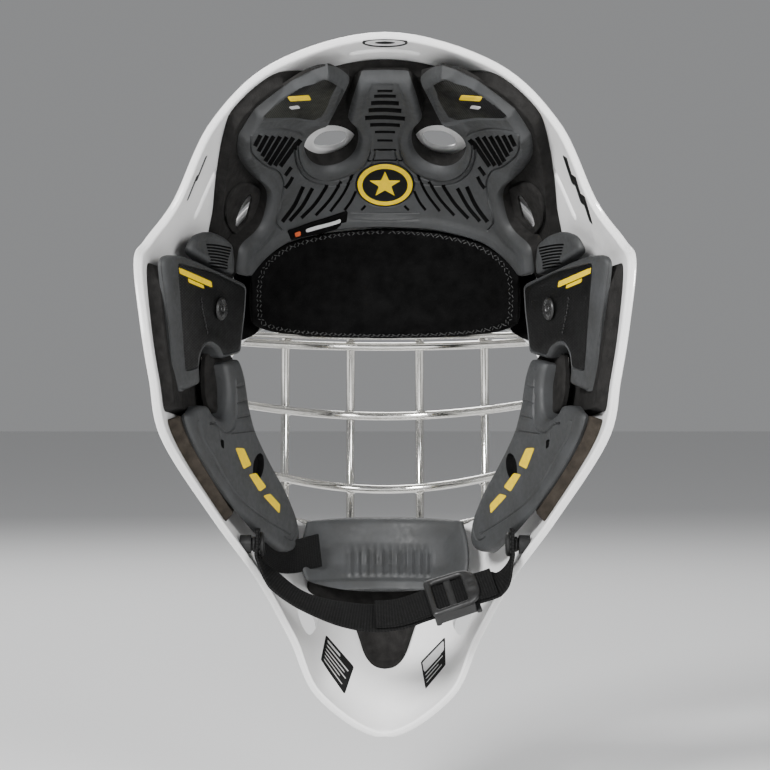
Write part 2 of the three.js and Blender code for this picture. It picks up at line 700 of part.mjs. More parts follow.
// The strap hangs straight down from a hinge line through its two snaps.
const STRAIGHT = [[-8, -121.7], [-58, -105.1]]; // [x, z] of the stretch the buckle slides on
const STRAP_LEFT = [
  [STRAP_END_X, -76], [STRAP_END_X, HINGE_Z], [STRAP_END_X, -91.5], [59, -102.5], [45, -113],
  [26, -120], [7, -123],
];
const STRAP_RIGHT = [
  [-63.2, -101], [-STRAP_END_X, -91.5], [-STRAP_END_X, HINGE_Z], [-STRAP_END_X, -76],
];
const straight = Array.from({ length: 5 }, (_, i) =>
  STRAIGHT[0].map((from, k) => from + ((STRAIGHT[1][k] - from) * i) / 4),
);
const strapPoint = ([x, z]) => new THREE.Vector3(x, HINGE_Y, z);
const strapCentre = [...STRAP_LEFT, ...straight, ...STRAP_RIGHT].map(strapPoint);

// The webbing's width lies front to back at the snaps and leans up the rest of the way.
const STRAP_LEAN = 0.75;
const leanAt = (p) => STRAP_LEAN * Math.min(1, Math.max(0, (66.5 - Math.abs(p.x)) / 8));

function strapAxes(along, lean) {
  const inPlane = new THREE.Vector3(0, -1, 0).cross(along).normalize();
  const across = new THREE.Vector3(0, Math.cos(lean), 0).addScaledVector(inPlane, Math.sin(lean));
  return [across, along.clone().cross(across).normalize()];
}

function webbing(points, width, thickness, offset = 0) {
  const rings = points.map((p, i) => {
    const before = points[Math.max(0, i - 1)];
    const after = points[Math.min(points.length - 1, i + 1)];
    const [across, square] = strapAxes(after.clone().sub(before).normalize(), leanAt(p));
    const corner = (a, b) =>
      p
        .clone()
        .addScaledVector(across, (a * width) / 2)
        .addScaledVector(square, offset + (b * thickness) / 2);
    return [corner(-1, -1), corner(1, -1), corner(1, 1), corner(-1, 1)];
  });
  return closedLoft(rings);
}
add("chin_strap", webbing(strapCentre, STRAP_WIDTH, STRAP_THICKNESS), WEBBING);

// The strap's free tail doubles back along it through the buckle.
const tail = [[5, -122.7], ...straight].map(strapPoint);
const TAIL_GAP = 0.8;
const tailOffset = -STRAP_THICKNESS - TAIL_GAP;
add("chin_strap_tail", webbing(tail, STRAP_WIDTH, STRAP_THICKNESS, tailOffset), WEBBING);

// The buckle is a slide: a frame round both layers of webbing, with a bar across its face.
const BUCKLE_LENGTH = 26;
const [slideFrom, slideTo] = STRAIGHT.map(strapPoint);
const slideAlong = slideTo.clone().sub(slideFrom).normalize();
const [slideAcross, slideSquare] = strapAxes(slideAlong, STRAP_LEAN);
const slideBasis = new THREE.Matrix4().makeBasis(slideAlong, slideAcross, slideSquare);
const slideMiddle = slideFrom.clone().lerp(slideTo, 0.56);
const buckleBox = (length, width, depth, along, square) =>
  toSolid(
    new THREE.BoxGeometry(length, width, depth)
      .translate(along, 0, square)
      .applyMatrix4(slideBasis)
      .translate(...slideMiddle.toArray()),
  );
const room = 2 * STRAP_THICKNESS + TAIL_GAP + 1; // for both layers
const roomAt = tailOffset / 2;
const buckle = cutAll(buckleBox(BUCKLE_LENGTH, STRAP_WIDTH + 7, room + 3.6, 0, roomAt), [
  buckleBox(40, STRAP_WIDTH + 1.4, room, 0, roomAt),
  buckleBox(7, STRAP_WIDTH - 1, 8, -6.5, roomAt - 5),
  buckleBox(7, STRAP_WIDTH - 1, 8, 6.5, roomAt - 5),
  buckleBox(19, STRAP_WIDTH - 1, 8, 0, roomAt + 5),
]);
add("strap_buckle", buckle, BUCKLE);

// Snaps: a cap on each end of the strap, a stud on the shell behind it
const CAP = [[0, 0], [6.5, 0], [6.5, 0.8], [5, 2.2], [0, 2.2]];
const capSeat = STRAP_END_X - STRAP_THICKNESS / 2 - GAP;
addPair("strap_snap", turned(CAP, hingeAt(capSeat), inward, 16), STEEL);
const studStart = STRAP_END_X + STRAP_THICKNESS / 2 + GAP;
addPair("strap_stud", aboutHinge(5, studStart, 100).intersect(cavity(GAP)), STEEL);

// Press studs on the outside of the shell hold the back plate's straps.
const PRESS_STUD = [[0, -3], [7, -3], [7, 1.6], [3.8, 1.9], [3.2, 3], [3.8, 4.2], [3.4, 4.8], [0, 4.8]];
for (const [name, t, s] of [["upper", 0.132, 0.84], ["lower", 0.3, 0.66]])
  addPair(`press_stud_${name}`, turnedOnShell(PRESS_STUD, t, s).subtract(outside), STEEL);

export default mask;
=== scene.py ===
"""Looks of an ice hockey goalie mask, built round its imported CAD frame.

Shapes are worked out in millimetres in the part's own frame: +Z up, the cage faces -Y, the open
back faces +Y and +X is the wearer's left. They become metres when a mesh is made.
"""
import math

import bmesh
import bpy
import numpy as np
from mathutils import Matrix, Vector
from mathutils.bvhtree import BVHTree
from mathutils.geometry import delaunay_2d_cdt
from mathutils.kdtree import KDTree


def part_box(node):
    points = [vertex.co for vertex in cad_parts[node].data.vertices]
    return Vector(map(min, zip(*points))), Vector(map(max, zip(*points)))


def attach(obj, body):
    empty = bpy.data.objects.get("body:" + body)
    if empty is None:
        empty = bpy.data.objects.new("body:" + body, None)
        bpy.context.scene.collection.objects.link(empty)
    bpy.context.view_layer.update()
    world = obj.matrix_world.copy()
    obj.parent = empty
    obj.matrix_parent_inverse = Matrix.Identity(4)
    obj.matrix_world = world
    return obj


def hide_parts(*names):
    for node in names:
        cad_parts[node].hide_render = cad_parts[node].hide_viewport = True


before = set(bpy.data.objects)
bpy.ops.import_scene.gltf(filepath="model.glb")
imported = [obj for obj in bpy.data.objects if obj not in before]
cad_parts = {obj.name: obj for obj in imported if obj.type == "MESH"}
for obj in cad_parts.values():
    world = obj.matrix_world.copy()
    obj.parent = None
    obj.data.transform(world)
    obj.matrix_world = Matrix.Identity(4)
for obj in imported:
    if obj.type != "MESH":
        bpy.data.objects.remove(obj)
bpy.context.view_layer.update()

MM = 0.001

# Driving dimensions, the same as the CAD part's
SHELL_WALL = 4.0
LINER = 7.0
CROWN_PAD = 10.5
GAP = 0.3
WIRE = 2.4
BAR_SPACING = 39.5
STRAP_WIDTH = 19.0
STRAP_THICKNESS = 1.8
EYE_Y = 1355.0
REAR_Y = 55.0
HEAD = np.array([0.0, -20.0, 20.0])
SMALL = 1e-4  # a step along the shell's t or s

# ---- looks --------------------------------------------------------------------------------


class Look:
    """A material built from noise, waves and bumps. Sizes are in millimetres."""

    def __init__(self, name, color, roughness, shine=0.5, **sockets):
        self.material = bpy.data.materials.new(name)
        self.material.use_nodes = True
        self.tree = self.material.node_tree
        self.shader = self.tree.nodes["Principled BSDF"]
        self.set("Specular IOR Level", shine)
        self.set("Base Color", (*color, 1))
        self.set("Roughness", roughness)
        for socket, value in sockets.items():
            self.set(socket.replace("_", " "), value)
        self.place = self.node("ShaderNodeTexCoord").outputs["Object"]
        self.normal = None

    def set(self, socket, value):
        self.shader.inputs[socket].default_value = value

    def node(self, kind, **settings):
        made = self.tree.nodes.new(kind)
        for name, value in settings.items():
            setattr(made, name, value)
        return made

    def link(self, source, target):
        self.tree.links.new(source, target)

    def pattern(self):
        """Coordinates laid on the piece itself: (u, v) of its outline, or along and across it."""
        return self.node("ShaderNodeAttribute", attribute_name="pattern").outputs["Vector"]

    def noise(self, size, detail=3.0, roughness=0.55, place=None):
        made = self.node("ShaderNodeTexNoise")
        made.inputs["Scale"].default_value = 1 / (size * MM)
        made.inputs["Detail"].default_value = detail
        made.inputs["Roughness"].default_value = roughness
        self.link(place or self.place, made.inputs["Vector"])
        return made.outputs["Fac"]

    def cells(self, size, place=None):
        made = self.node("ShaderNodeTexVoronoi")
        made.inputs["Scale"].default_value = 1 / (size * MM)
        self.link(place or self.place, made.inputs["Vector"])
        return made.outputs["Distance"]

    def bands(self, size, turn, place, distortion=0.0, profile="SIN"):
        """Stripes of the given pitch across the direction at angle `turn` in the pattern."""
        turned = self.node("ShaderNodeMapping")
        turned.inputs["Rotation"].default_value = (0, 0, turn)
        self.link(place, turned.inputs["Vector"])
        made = self.node("ShaderNodeTexWave", wave_profile=profile)
        # a wave texture's pitch is 2 pi / 20 at scale 1
        made.inputs["Scale"].default_value = math.pi / 10 / (size * MM)
        made.inputs["Distortion"].default_value = distortion
        self.link(turned.outputs["Vector"], made.inputs["Vector"])
        return made.outputs["Fac"]

    def ranged(self, value, low, high, start=0.0, end=1.0):
        made = self.node("ShaderNodeMapRange")
        made.inputs["From Min"].default_value = start
        made.inputs["From Max"].default_value = end
        made.inputs["To Min"].default_value = low
        made.inputs["To Max"].default_value = high
        self.link(value, made.inputs["Value"])
        return made.outputs["Result"]

    def sum(self, a, b, operation="ADD"):
        made = self.node("ShaderNodeMath", operation=operation)
        self.link(a, made.inputs[0])
        self.link(b, made.inputs[1])
        return made.outputs[0]

    def color(self, value, *stops):
        """Base colour from a value: each stop is (place, colour)."""
        made = self.node("ShaderNodeValToRGB")
        elements = made.color_ramp.elements
        while len(elements) < len(stops):
            elements.new(0.5)
        for element, (at, shade) in zip(elements, stops):
            element.position = at
            element.color = (*shade, 1)
        self.link(value, made.inputs["Fac"])
        self.link(made.outputs["Color"], self.shader.inputs["Base Color"])
        return self

    def rough(self, value, low, high):
        self.link(self.ranged(value, low, high, 0.3, 0.7), self.shader.inputs["Roughness"])
        return self

    def bump(self, value, height, strength=1.0):
        """Adds relief: `height` is its depth in millimetres."""
        made = self.node("ShaderNodeBump")
        made.inputs["Strength"].default_value = strength
        made.inputs["Distance"].default_value = height * MM
        self.link(value, made.inputs["Height"])
        if self.normal:
            self.link(self.normal, made.inputs["Normal"])
        self.normal = made.outputs["Normal"]
        self.link(self.normal, self.shader.inputs["Normal"])
        return self


def grey(value, warmth=0.0):
    return (value * (1 + warmth), value, value * (1 - warmth))


def varied(look, size, dark, light):
    return look.color(look.noise(size), (0.32, dark), (0.68, light))


def shell_paint():
    look = Look("shell_paint", grey(0.8), 0.2, Coat_Weight=0.6, Coat_Roughness=0.06)
    varied(look, 60, grey(0.78, 0.005), grey(0.83, 0.008))
    look.rough(look.noise(9), 0.14, 0.3)
    return look.bump(look.noise(14, 1.0), 0.12).bump(look.noise(0.9), 0.004)


def shell_inside():
    look = Look("shell_inside", grey(0.85), 0.42)
    varied(look, 35, grey(0.82, 0.004), grey(0.88, 0.006))
    look.rough(look.noise(6), 0.34, 0.5)
    return look.bump(look.noise(8), 0.1).bump(look.noise(0.7), 0.012)


def chrome():
    look = Look("chrome", (0.8, 0.79, 0.75), 0.12, Metallic=1.0)
    varied(look, 5, (0.72, 0.71, 0.67), (0.84, 0.83, 0.8))
    look.rough(look.noise(2.2), 0.1, 0.24)
    return look.bump(look.noise(0.6), 0.004)


def plated_steel():
    look = Look("plated_steel", grey(0.55), 0.3, Metallic=1.0)
    varied(look, 2.5, grey(0.45, 0.01), grey(0.6, 0.01))
    look.rough(look.noise(1.2), 0.22, 0.42)
    return look.bump(look.noise(0.3), 0.006)


def foam(name, shade, warmth=0.0):
    """Closed-cell foam, sliced: fine cells and faint knife marks."""
    look = Look(name, grey(shade), 0.9, shine=0.12)
    varied(look, 5, grey(shade * 0.72, warmth), grey(shade * 1.35, warmth))
    look.rough(look.noise(2), 0.82, 0.97)
    return look.bump(look.noise(0.45, 4.0), 0.1).bump(look.cells(0.8), 0.09)


def moulded():
    """Matt moulded foam: a fine pebbled skin, paler where it rubs."""
    look = Look("moulded_skin", grey(0.042), 0.6, shine=0.36)
    look.color(look.noise(18, 5.0), (0.3, (0.033, 0.034, 0.034)), (0.7, (0.047, 0.049, 0.051)))
    look.rough(look.noise(3), 0.46, 0.66)
    return look.bump(look.noise(0.5, 2.0), 0.045).bump(look.cells(0.55), 0.03)


def slot_shade_paint():
    """Painted shade for the floor of a slot: a near-black foam where the slot's shade falls."""
    return foam("slot_shade_paint", 0.002)


def inlay_film():
    """Black film printed with fine slanting lines."""
    look = Look("inlay_film", grey(0.02), 0.5, shine=0.2)
    lines = look.bands(0.85, 0.62, look.pattern(), 0.4)
    fade = look.noise(26, 1.0)
    shade = look.sum(lines, look.ranged(fade, 0.0, 0.9, 0.35, 0.65), "MULTIPLY")
    look.color(shade, (0.12, grey(0.003)), (0.75, (0.042, 0.043, 0.036)))
    look.rough(look.noise(4), 0.38, 0.6)
    return look.bump(lines, 0.06).bump(look.noise(0.4), 0.02)


def side_film():
    """Black film with a woven print that shows most towards the rear edge."""
    look = Look("side_film", grey(0.02), 0.5, shine=0.25)
    weave = look.sum(
        look.bands(1.1, 0.8, look.pattern()), look.bands(1.1, -0.8, look.pattern()), "MULTIPLY"
    )
    across = look.node("ShaderNodeSeparateXYZ")
    look.link(look.pattern(), across.inputs[0])
    fade = look.ranged(across.outputs[0], 0.05, 1.0, 0.084, 0.101)
    shade = look.sum(weave, fade, "MULTIPLY")
    look.color(shade, (0.1, grey(0.003)), (0.8, grey(0.036, 0.02)))
    look.rough(look.noise(4), 0.4, 0.58)
    return look.bump(weave, 0.06).bump(look.noise(0.4), 0.02)


def brushed_fabric():
    """Black brushed fabric: a short matted pile over a knit."""
    look = Look("brushed_fabric", grey(0.003), 0.95, shine=0.05)
    varied(look, 7, grey(0.002), grey(0.0045))
    look.rough(look.noise(3), 0.88, 1.0)
    return look.bump(look.noise(1.1, 5.0, 0.75), 0.28).bump(look.cells(0.6), 0.12)


def webbing_weave(name="webbing_weave", fuzz=0.0):
    """Woven polyester: ribs along the strap crossed by its weft."""
    look = Look(name, grey(0.02), 0.85, shine=0.15)
    ribs = look.bands(1.5, 0.0, look.pattern())
    weft = look.bands(0.9, math.pi / 2, look.pattern())
    weave = look.sum(ribs, weft, "MULTIPLY")
    shade = look.sum(weave, look.ranged(look.noise(0.7), 0.4, 1.1), "MULTIPLY")
    look.color(shade, (0.05, grey(0.003)), (0.8, grey(0.012 + 0.004 * fuzz)))
    look.rough(look.noise(2), 0.78, 0.95)
    look.bump(weave, 0.22).bump(look.noise(0.35, 5.0, 0.8), 0.06 + 0.3 * fuzz)
    return look


def black_acetal():
    look = Look("black_acetal", grey(0.014), 0.36)
    varied(look, 4, grey(0.011), grey(0.019))
    look.rough(look.noise(1.5), 0.28, 0.5)
    return look.bump(look.noise(0.25), 0.015)


def painted(name, shade, roughness=0.45):
    look = Look(name, shade, roughness, shine=0.2)
    dark = tuple(0.86 * c for c in shade)
    look.color(look.noise(3.0), (0.3, dark), (0.7, shade))
    look.rough(look.noise(1.4), roughness - 0.08, roughness + 0.12)
    return look.bump(look.noise(0.3), 0.012)


def thread(name, shade):
    look = Look(name, grey(shade), 0.7, shine=0.3)
    varied(look, 1.5, grey(shade * 0.6), grey(shade * 1.3))
    return look.bump(look.noise(0.2), 0.03)


# ---- curves -------------------------------------------------------------------------------


def unit(vectors):
    return vectors / np.linalg.norm(vectors, axis=-1, keepdims=True)


def clamp(value, low=0.0, high=1.0):
    return np.minimum(high, np.maximum(low, value))


def smooth(value):
    share = clamp(value)
    return share * share * (3 - 2 * share)


def catmull(a, b, c, d, w):
    """The point at share w between b and c on the Catmull-Rom curve through four points."""
    return (
        (2 * w**3 - 3 * w**2 + 1) * b
        + (w**3 - 2 * w**2 + w) * (c - a) / 2
        + (3 * w**2 - 2 * w**3) * c
        + (w**3 - w**2) * (d - b) / 2
    )


def spline(points, step):
    """Points about every `step` along a smooth curve through the given points."""
    p = np.asarray(points, float)
    p = np.vstack([2 * p[0] - p[1], p, 2 * p[-1] - p[-2]])
    parts = []
    for a, b, c, d in zip(p[:-3], p[1:-2], p[2:-1], p[3:]):
        count = max(1, round(np.linalg.norm(c - b) / step))
        w = np.arange(count)[:, None] / count
        parts.append(catmull(a, b, c, d, w))
    return np.vstack([*parts, p[-2:-1]])


def resample(line, spacing, closed=True):
    line = np.asarray(line, float)
    ends = np.vstack([line, line[:1]]) if closed else line
    length = np.concatenate([[0], np.cumsum(np.linalg.norm(np.diff(ends, axis=0), axis=1))])
    count = max(4 if closed else 2, round(length[-1] / spacing) + (0 if closed else 1))
    at = np.linspace(0, length[-1], count, endpoint=not closed)
    return np.stack([np.interp(at, length, ends[:, k]) for k in range(ends.shape[1])], 1)


def loop(corners, radius=2.0, spacing=1.5):
    """A closed outline with rounded corners. A corner is (u, v) or (u, v, its own radius)."""
    points = []
    for i, corner in enumerate(corners):
        here = np.array(corner[:2], float)
        reach = corner[2] if len(corner) > 2 else radius
        for end in (corners[i - 1], corners[(i + 1) % len(corners)]):
            away = np.array(end[:2], float) - here
            points.append(here + away * min(reach / np.linalg.norm(away), 0.499))
        start, finish = points[-2:]
        w = np.linspace(0, 1, 7)[1:-1, None]
        arc = (1 - w) ** 2 * start + 2 * w * (1 - w) * here + w**2 * finish
        points[-1:] = [*arc, finish]
    return resample(points, spacing)


def ellipse(u, v, a, b, spacing=1.5, tilt=0.0):
    turn = np.linspace(0, 2 * math.pi, max(12, int(math.tau * max(a, b) / spacing)), endpoint=False)
    x, y = a * np.cos(turn), b * np.sin(turn)
    c, s = math.cos(tilt), math.sin(tilt)
    return np.stack([u + c * x - s * y, v + s * x + c * y], 1)


def mirrored(points):
    """The same outline on the other side, drawn in the same direction."""
    return np.asarray(points, float)[::-1] * np.array([-1.0, 1.0])


def both_sides(half):
    """A whole outline from its +u half, which starts and ends on the middle line."""
    other = [(-c[0], *c[1:]) for c in half[1:-1]]
    return [*half, *other[::-1]]


def to_lines(points, lines):
    """Distance from each point to the nearest of several polylines, each (points, closed)."""
    best = np.full(len(points), 1e9)
    for line, closed in lines:
        a = line if closed else line[:-1]
        b = np.roll(line, -1, 0) if closed else line[1:]
        span = b - a
        length = np.maximum(1e-12, (span**2).sum(1))
        batch = max(1, 200000 // len(a))
        for start in range(0, len(points), batch):
            p = points[start : start + batch, None]
            w = clamp(((p - a) * span).sum(2) / length)
            gap = np.linalg.norm(p - a - w[..., None] * span, axis=2).min(1)
            best[start : start + batch] = np.minimum(best[start : start + batch], gap)
    return best


def inside(points, outline):
    a, b = outline, np.roll(outline, -1, 0)
    odd = np.zeros(len(points), bool)
    for (x0, y0), (x1, y1) in zip(a, b):
        spans = (y0 > points[:, 1]) != (y1 > points[:, 1])
        if y0 != y1:
            odd ^= spans & (points[:, 0] < x0 + (points[:, 1] - y0) * (x1 - x0) / (y1 - y0))
    return odd


# ---- shell surface ------------------------------------------------------------------------

FACE_EDGE = [
    (0, -129, 37), (34, -127, 36.5), (62, -116, 33), (78, -104, 26), (86, -94, 16), (90, -88, 6),
    (91, -85, -5), (90, -85, -17), (86, -88, -32), (75, -98, -54), (61, -111, -71),
    (45, -122, -82), (24, -131, -88), (0, -134, -90),
]
FRONT_BOW = [
    (0, -142, 104), (40, -138, 98), (72, -124, 80), (90, -106, 58), (98, -92, 38), (103, -80, 20),
    (105, -72, 4), (104, -72, -14), (100, -76, -34), (86, -92, -62), (68, -108, -84),
    (50, -120, -100), (28, -131, -112), (0, -136, -115),
]
REAR_BOW = [
    (0, -77, 169), (51, -66, 157), (85, -54, 128), (102, -42, 92), (111, -33, 70), (116, -25, 52),
    (118, -15, 28), (115, -15, 0), (109, -20, -28), (91, -50, -68), (72, -78, -98),
    (54, -92, -130), (36, -108, -160), (0, -118, -178),
]
REAR_RIM = [
    (0, 28, 178), (55, 27, 163.5), (88, 24, 133.5), (107, 24, 93.5), (120.5, 38, 72.5),
    (124.5, 52, 61.5), (121, 55, 30), (117, 50, 2.5), (112, 36, -27.5), (89, -8, -70),
    (68.5, -42, -103), (51.5, -62, -137), (36.5, -76, -170.5), (0, -84, -193),
]
NET = [
    np.array([*half, *[(-x, y, z) for x, y, z in half[-2:0:-1]]], float)
    for half in (FACE_EDGE, FRONT_BOW, REAR_BOW, REAR_RIM)
]


def shell_point(t, s):
    """t runs once round the mask from the crown, s from the face opening (0) to the rim (1)."""
    t, s = np.broadcast_arrays(np.asarray(t, float), np.asarray(s, float))
    count = len(NET[0])
    at = (t % 1.0) * count
    i = np.floor(at).astype(int)
    w, s = (at - i)[..., None], s[..., None]
    rings = [catmull(*(ring[(i + k) % count] for k in (-1, 0, 1, 2)), w) for ring in NET]
    shares = ((1 - s) ** 3, 3 * s * (1 - s) ** 2, 3 * s**2 * (1 - s), s**3)
    return sum(share * ring for share, ring in zip(shares, rings))


def shell_normal(t, s):
    e = 1e-3
    s = np.asarray(s, float)
    along = shell_point(t, np.minimum(1, s + e)) - shell_point(t, np.maximum(0, s - e))
    return unit(np.cross(shell_point(t + e, s) - shell_point(t - e, s), along))


def under_shell(t, s, depth):
    """The point at depth under the shell's outer face, measured square to it."""
    outer = shell_point(t, s)
    inward = unit(HEAD - outer)
    square = np.maximum(0.5, -(inward * shell_normal(t, s)).sum(-1))
    return outer + inward * (np.asarray(depth, float) / square)[..., None]


def to_pattern(points):
    """Where a point is seen from behind, on the pattern plane."""
    scale = (EYE_Y - REAR_Y) / (EYE_Y - points[..., 1])
    return np.stack([points[..., 0] * scale, points[..., 2] * scale], -1)


def from_behind(uv, y):
    scale = (EYE_Y - y) / (EYE_Y - REAR_Y)
    return np.stack([uv[..., 0] * scale, y + 0 * uv[..., 0], uv[..., 1] * scale], -1)


def newton(miss, by_t, by_s):
    """The steps in t and s that make up for a miss, from how the point moves with each."""
    area = by_t[:, 0] * by_s[:, 1] - by_t[:, 1] * by_s[:, 0]
    area = np.where(np.abs(area) < 1.0, 1.0, area)
    step_t = (miss[:, 0] * by_s[:, 1] - miss[:, 1] * by_s[:, 0]) / area
    step_s = (by_t[:, 0] * miss[:, 1] - by_t[:, 1] * miss[:, 0]) / area
    return step_t, step_s


def find_on_shell(uv, depth):
    """The (t, s) of the points which are seen at each (u, v), at one depth or one for each."""
    grid_t, grid_s = np.meshgrid(np.linspace(-0.5, 0.5, 209), np.linspace(0.04, 1, 49))
    grid_t, grid_s = grid_t.ravel(), grid_s.ravel()
    tree = KDTree(len(grid_t))
    for i, seen in enumerate(to_pattern(under_shell(grid_t, grid_s, np.mean(depth)))):
        tree.insert((*seen, 0), i)
    tree.balance()
    nearest = [tree.find((*p, 0))[1] for p in uv]
    t, s = grid_t[nearest], grid_s[nearest]
    for _ in range(6):
        here = to_pattern(under_shell(t, s, depth))
        by_t = (to_pattern(under_shell(t + SMALL, s, depth)) - here) / SMALL
        by_s = (to_pattern(under_shell(t, s + SMALL, depth)) - here) / SMALL
        step_t, step_s = newton(uv - here, by_t, by_s)
        t = t + clamp(step_t, -0.01, 0.01)
        s = clamp(s + clamp(step_s, -0.04, 0.04))
    return t, s


# Sheets that follow the shell are drawn on a flat strip: t along it and s across it.
STRIP = np.array([900.0, 230.0])


def on_strip(depth):
    """Lays a strip outline under the shell. Levels count from that depth towards the head."""
    return lambda strip: (
        lambda level: under_shell(strip[:, 0] / STRIP[0], strip[:, 1] / STRIP[1], depth + level)
    )


def on_shell(depth):
    """Lays a pattern outline under the shell, where it is seen from behind.

    depth is a number or a function of (u, v).
    """

    def place(uv):
        here = depth(uv) if callable(depth) else depth
        t, s = find_on_shell(uv, here)
        return lambda level: under_shell(t, s, here + level)

    return place


def on_plane(depth_at, square):
    """Lays a pattern outline on a sloping face whose outward direction is `square`."""

    def place(uv):
        face = from_behind(uv, depth_at(uv[:, 0], uv[:, 1]))
        return lambda level: face - np.outer(np.broadcast_to(level, len(uv)), square)

    return place


# ---- meshes -------------------------------------------------------------------------------


class Mesh:
    """Vertices in millimetres, faces, each face's look and a pattern coordinate."""

    def __init__(self):
        self.points, self.pattern, self.faces, self.looks = [], [], [], []

    def add(self, points, faces, look=0, pattern=None):
        start = len(self.points)
        self.points.extend(np.asarray(points, float))
        self.pattern.extend(np.zeros((len(points), 2)) if pattern is None else pattern)
        self.faces.extend([start + i for i in face] for face in faces)
        self.looks.extend([look] * len(faces) if np.isscalar(look) else look)
        return self

    def other_side(self):
        """The mirror image, for the other side of the mask."""
        other = Mesh()
        other.points = list(np.array(self.points) * np.array([-1, 1, 1]))
        other.pattern = list(np.array(self.pattern)[:, :2] * np.array([-1, 1]))
        other.faces, other.looks = self.faces, self.looks
        return other

    def build(self, name, looks, body="mask", stands_for=(), slot=None, sharp=38, weld=False):
        data = bpy.data.meshes.new(name)
        data.from_pydata([Vector(p) * MM for p in self.points], [], self.faces)
        data.polygons.foreach_set("material_index", np.array(self.looks, np.int32))
        coordinates = np.zeros((len(self.points), 3), np.float32)
        coordinates[:, :2] = np.array(self.pattern)[:, :2] * MM
        attribute = data.attributes.new("pattern", "FLOAT_VECTOR", "POINT")
        attribute.data.foreach_set("vector", coordinates.ravel())
        tidy = bmesh.new()
        tidy.from_mesh(data)
        if weld:
            bmesh.ops.remove_doubles(tidy, verts=tidy.verts, dist=0.02 * MM)
        bmesh.ops.recalc_face_normals(tidy, faces=tidy.faces)
        tidy.to_mesh(data)
        tidy.free()
        data.polygons.foreach_set("use_smooth", np.ones(len(data.polygons), bool))
        data.set_sharp_from_angle(angle=math.radians(sharp))
        for look in looks:
            data.materials.append(look.material)
        piece = bpy.data.objects.new(name, data)
        bpy.context.scene.collection.objects.link(piece)
        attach(piece, body)
        if stands_for:
            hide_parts(*([stands_for] if isinstance(stands_for, str) else stands_for))
        return piece


def grid_faces(rows, columns, close_rows=False, close_columns=False):
    faces = []
    for j in range(rows if close_rows else rows - 1):
        for i in range(columns if close_columns else columns - 1):
            k, m = (j + 1) % rows, (i + 1) % columns
            faces.append((j * columns + i, j * columns + m, k * columns + m, k * columns + i))
    return faces


def build_pair(mesh, name, looks, stands_for=None, slot=None, fill=None, number="", **facts):
    """Builds a +X piece and its mirror image: the wearer's left and right."""
    for half, side in ((mesh, "left"), (mesh.other_side(), "right")):
        node = f"{stands_for}_{side}" if stands_for else ()
        piece = half.build(f"{name}_{side}{number}", looks, stands_for=node, slot=slot, **facts)


def between_loops(points, loops):
    """Which points lie inside the first loop and outside the rest."""
    keep = inside(points, loops[0])
    for hole in loops[1:]:
        keep &= ~inside(points, hole)
    return keep


def triangulate(loops, lines, points):
    """Triangles between the loops: inside the first and outside the rest."""
    corners, edges = [], []
    for line, closed in [*((outline, True) for outline in loops), *lines]:
        start, count = sum(map(len, corners)), len(line)
        ends = range(count if closed else count - 1)
        edges.extend((start + i, start + (i + 1) % count) for i in ends)
        corners.append(line)
    flat = np.vstack([*corners, points])
    found, _, faces, *_ = delaunay_2d_cdt([Vector(p) for p in flat], edges, [], 0, 1e-5)
    uv = np.array([tuple(p) for p in found])
    faces = np.array([tuple(f) for f in faces])
    faces = faces[between_loops(uv[faces].mean(1), loops)]
    a, b, c = uv[faces[:, 0]], uv[faces[:, 1]], uv[faces[:, 2]]
    turn = (b - a)[:, 0] * (c - a)[:, 1] - (b - a)[:, 1] * (c - a)[:, 0]
    faces[turn < 0] = faces[turn < 0][:, ::-1]
    faces = faces[np.abs(turn) > 1e-7]
    used, faces = np.unique(faces, return_inverse=True)
    return uv[used], faces.reshape(-1, 3)


def beside(borders, rows):
    """Points in rows along both sides of each border line."""
    points = [np.empty((0, 2))]
    for line, closed in borders:
        along = np.roll(line, -1, 0) - np.roll(line, 1, 0)
        if not closed:
            along[0], along[-1] = line[1] - line[0], line[-1] - line[-2]
        across = unit(np.stack([-along[:, 1], along[:, 0]], 1))
        for distance in rows:
            for side in (-1, 1):
                offset = line + side * distance * across
                gap = to_lines(offset, borders)
                points.append(offset[np.abs(gap - distance) < 0.1 * distance])
    return np.vstack(points)


def staggered_grid(outline, spacing):
    """Points in staggered rows over the outline's box."""
    low, high = outline.min(0), outline.max(0)
    across = np.arange(low[0] + spacing / 2, high[0], spacing)
    up = np.arange(low[1] + spacing / 2, high[1], spacing * 0.866)
    grid = [(u + spacing / 2 * (j % 2), v) for j, v in enumerate(up) for u in across]
    return np.array(grid).reshape(-1, 2)


def open_sides(faces):
    """The edges that belong to one face only, in that face's direction."""
    sides = {}
    for face in faces:
        for a, b in zip(face, np.roll(face, -1)):
            if (b, a) in sides:
                del sides[(b, a)]
            else:
                sides[(a, b)] = True
    return list(sides)


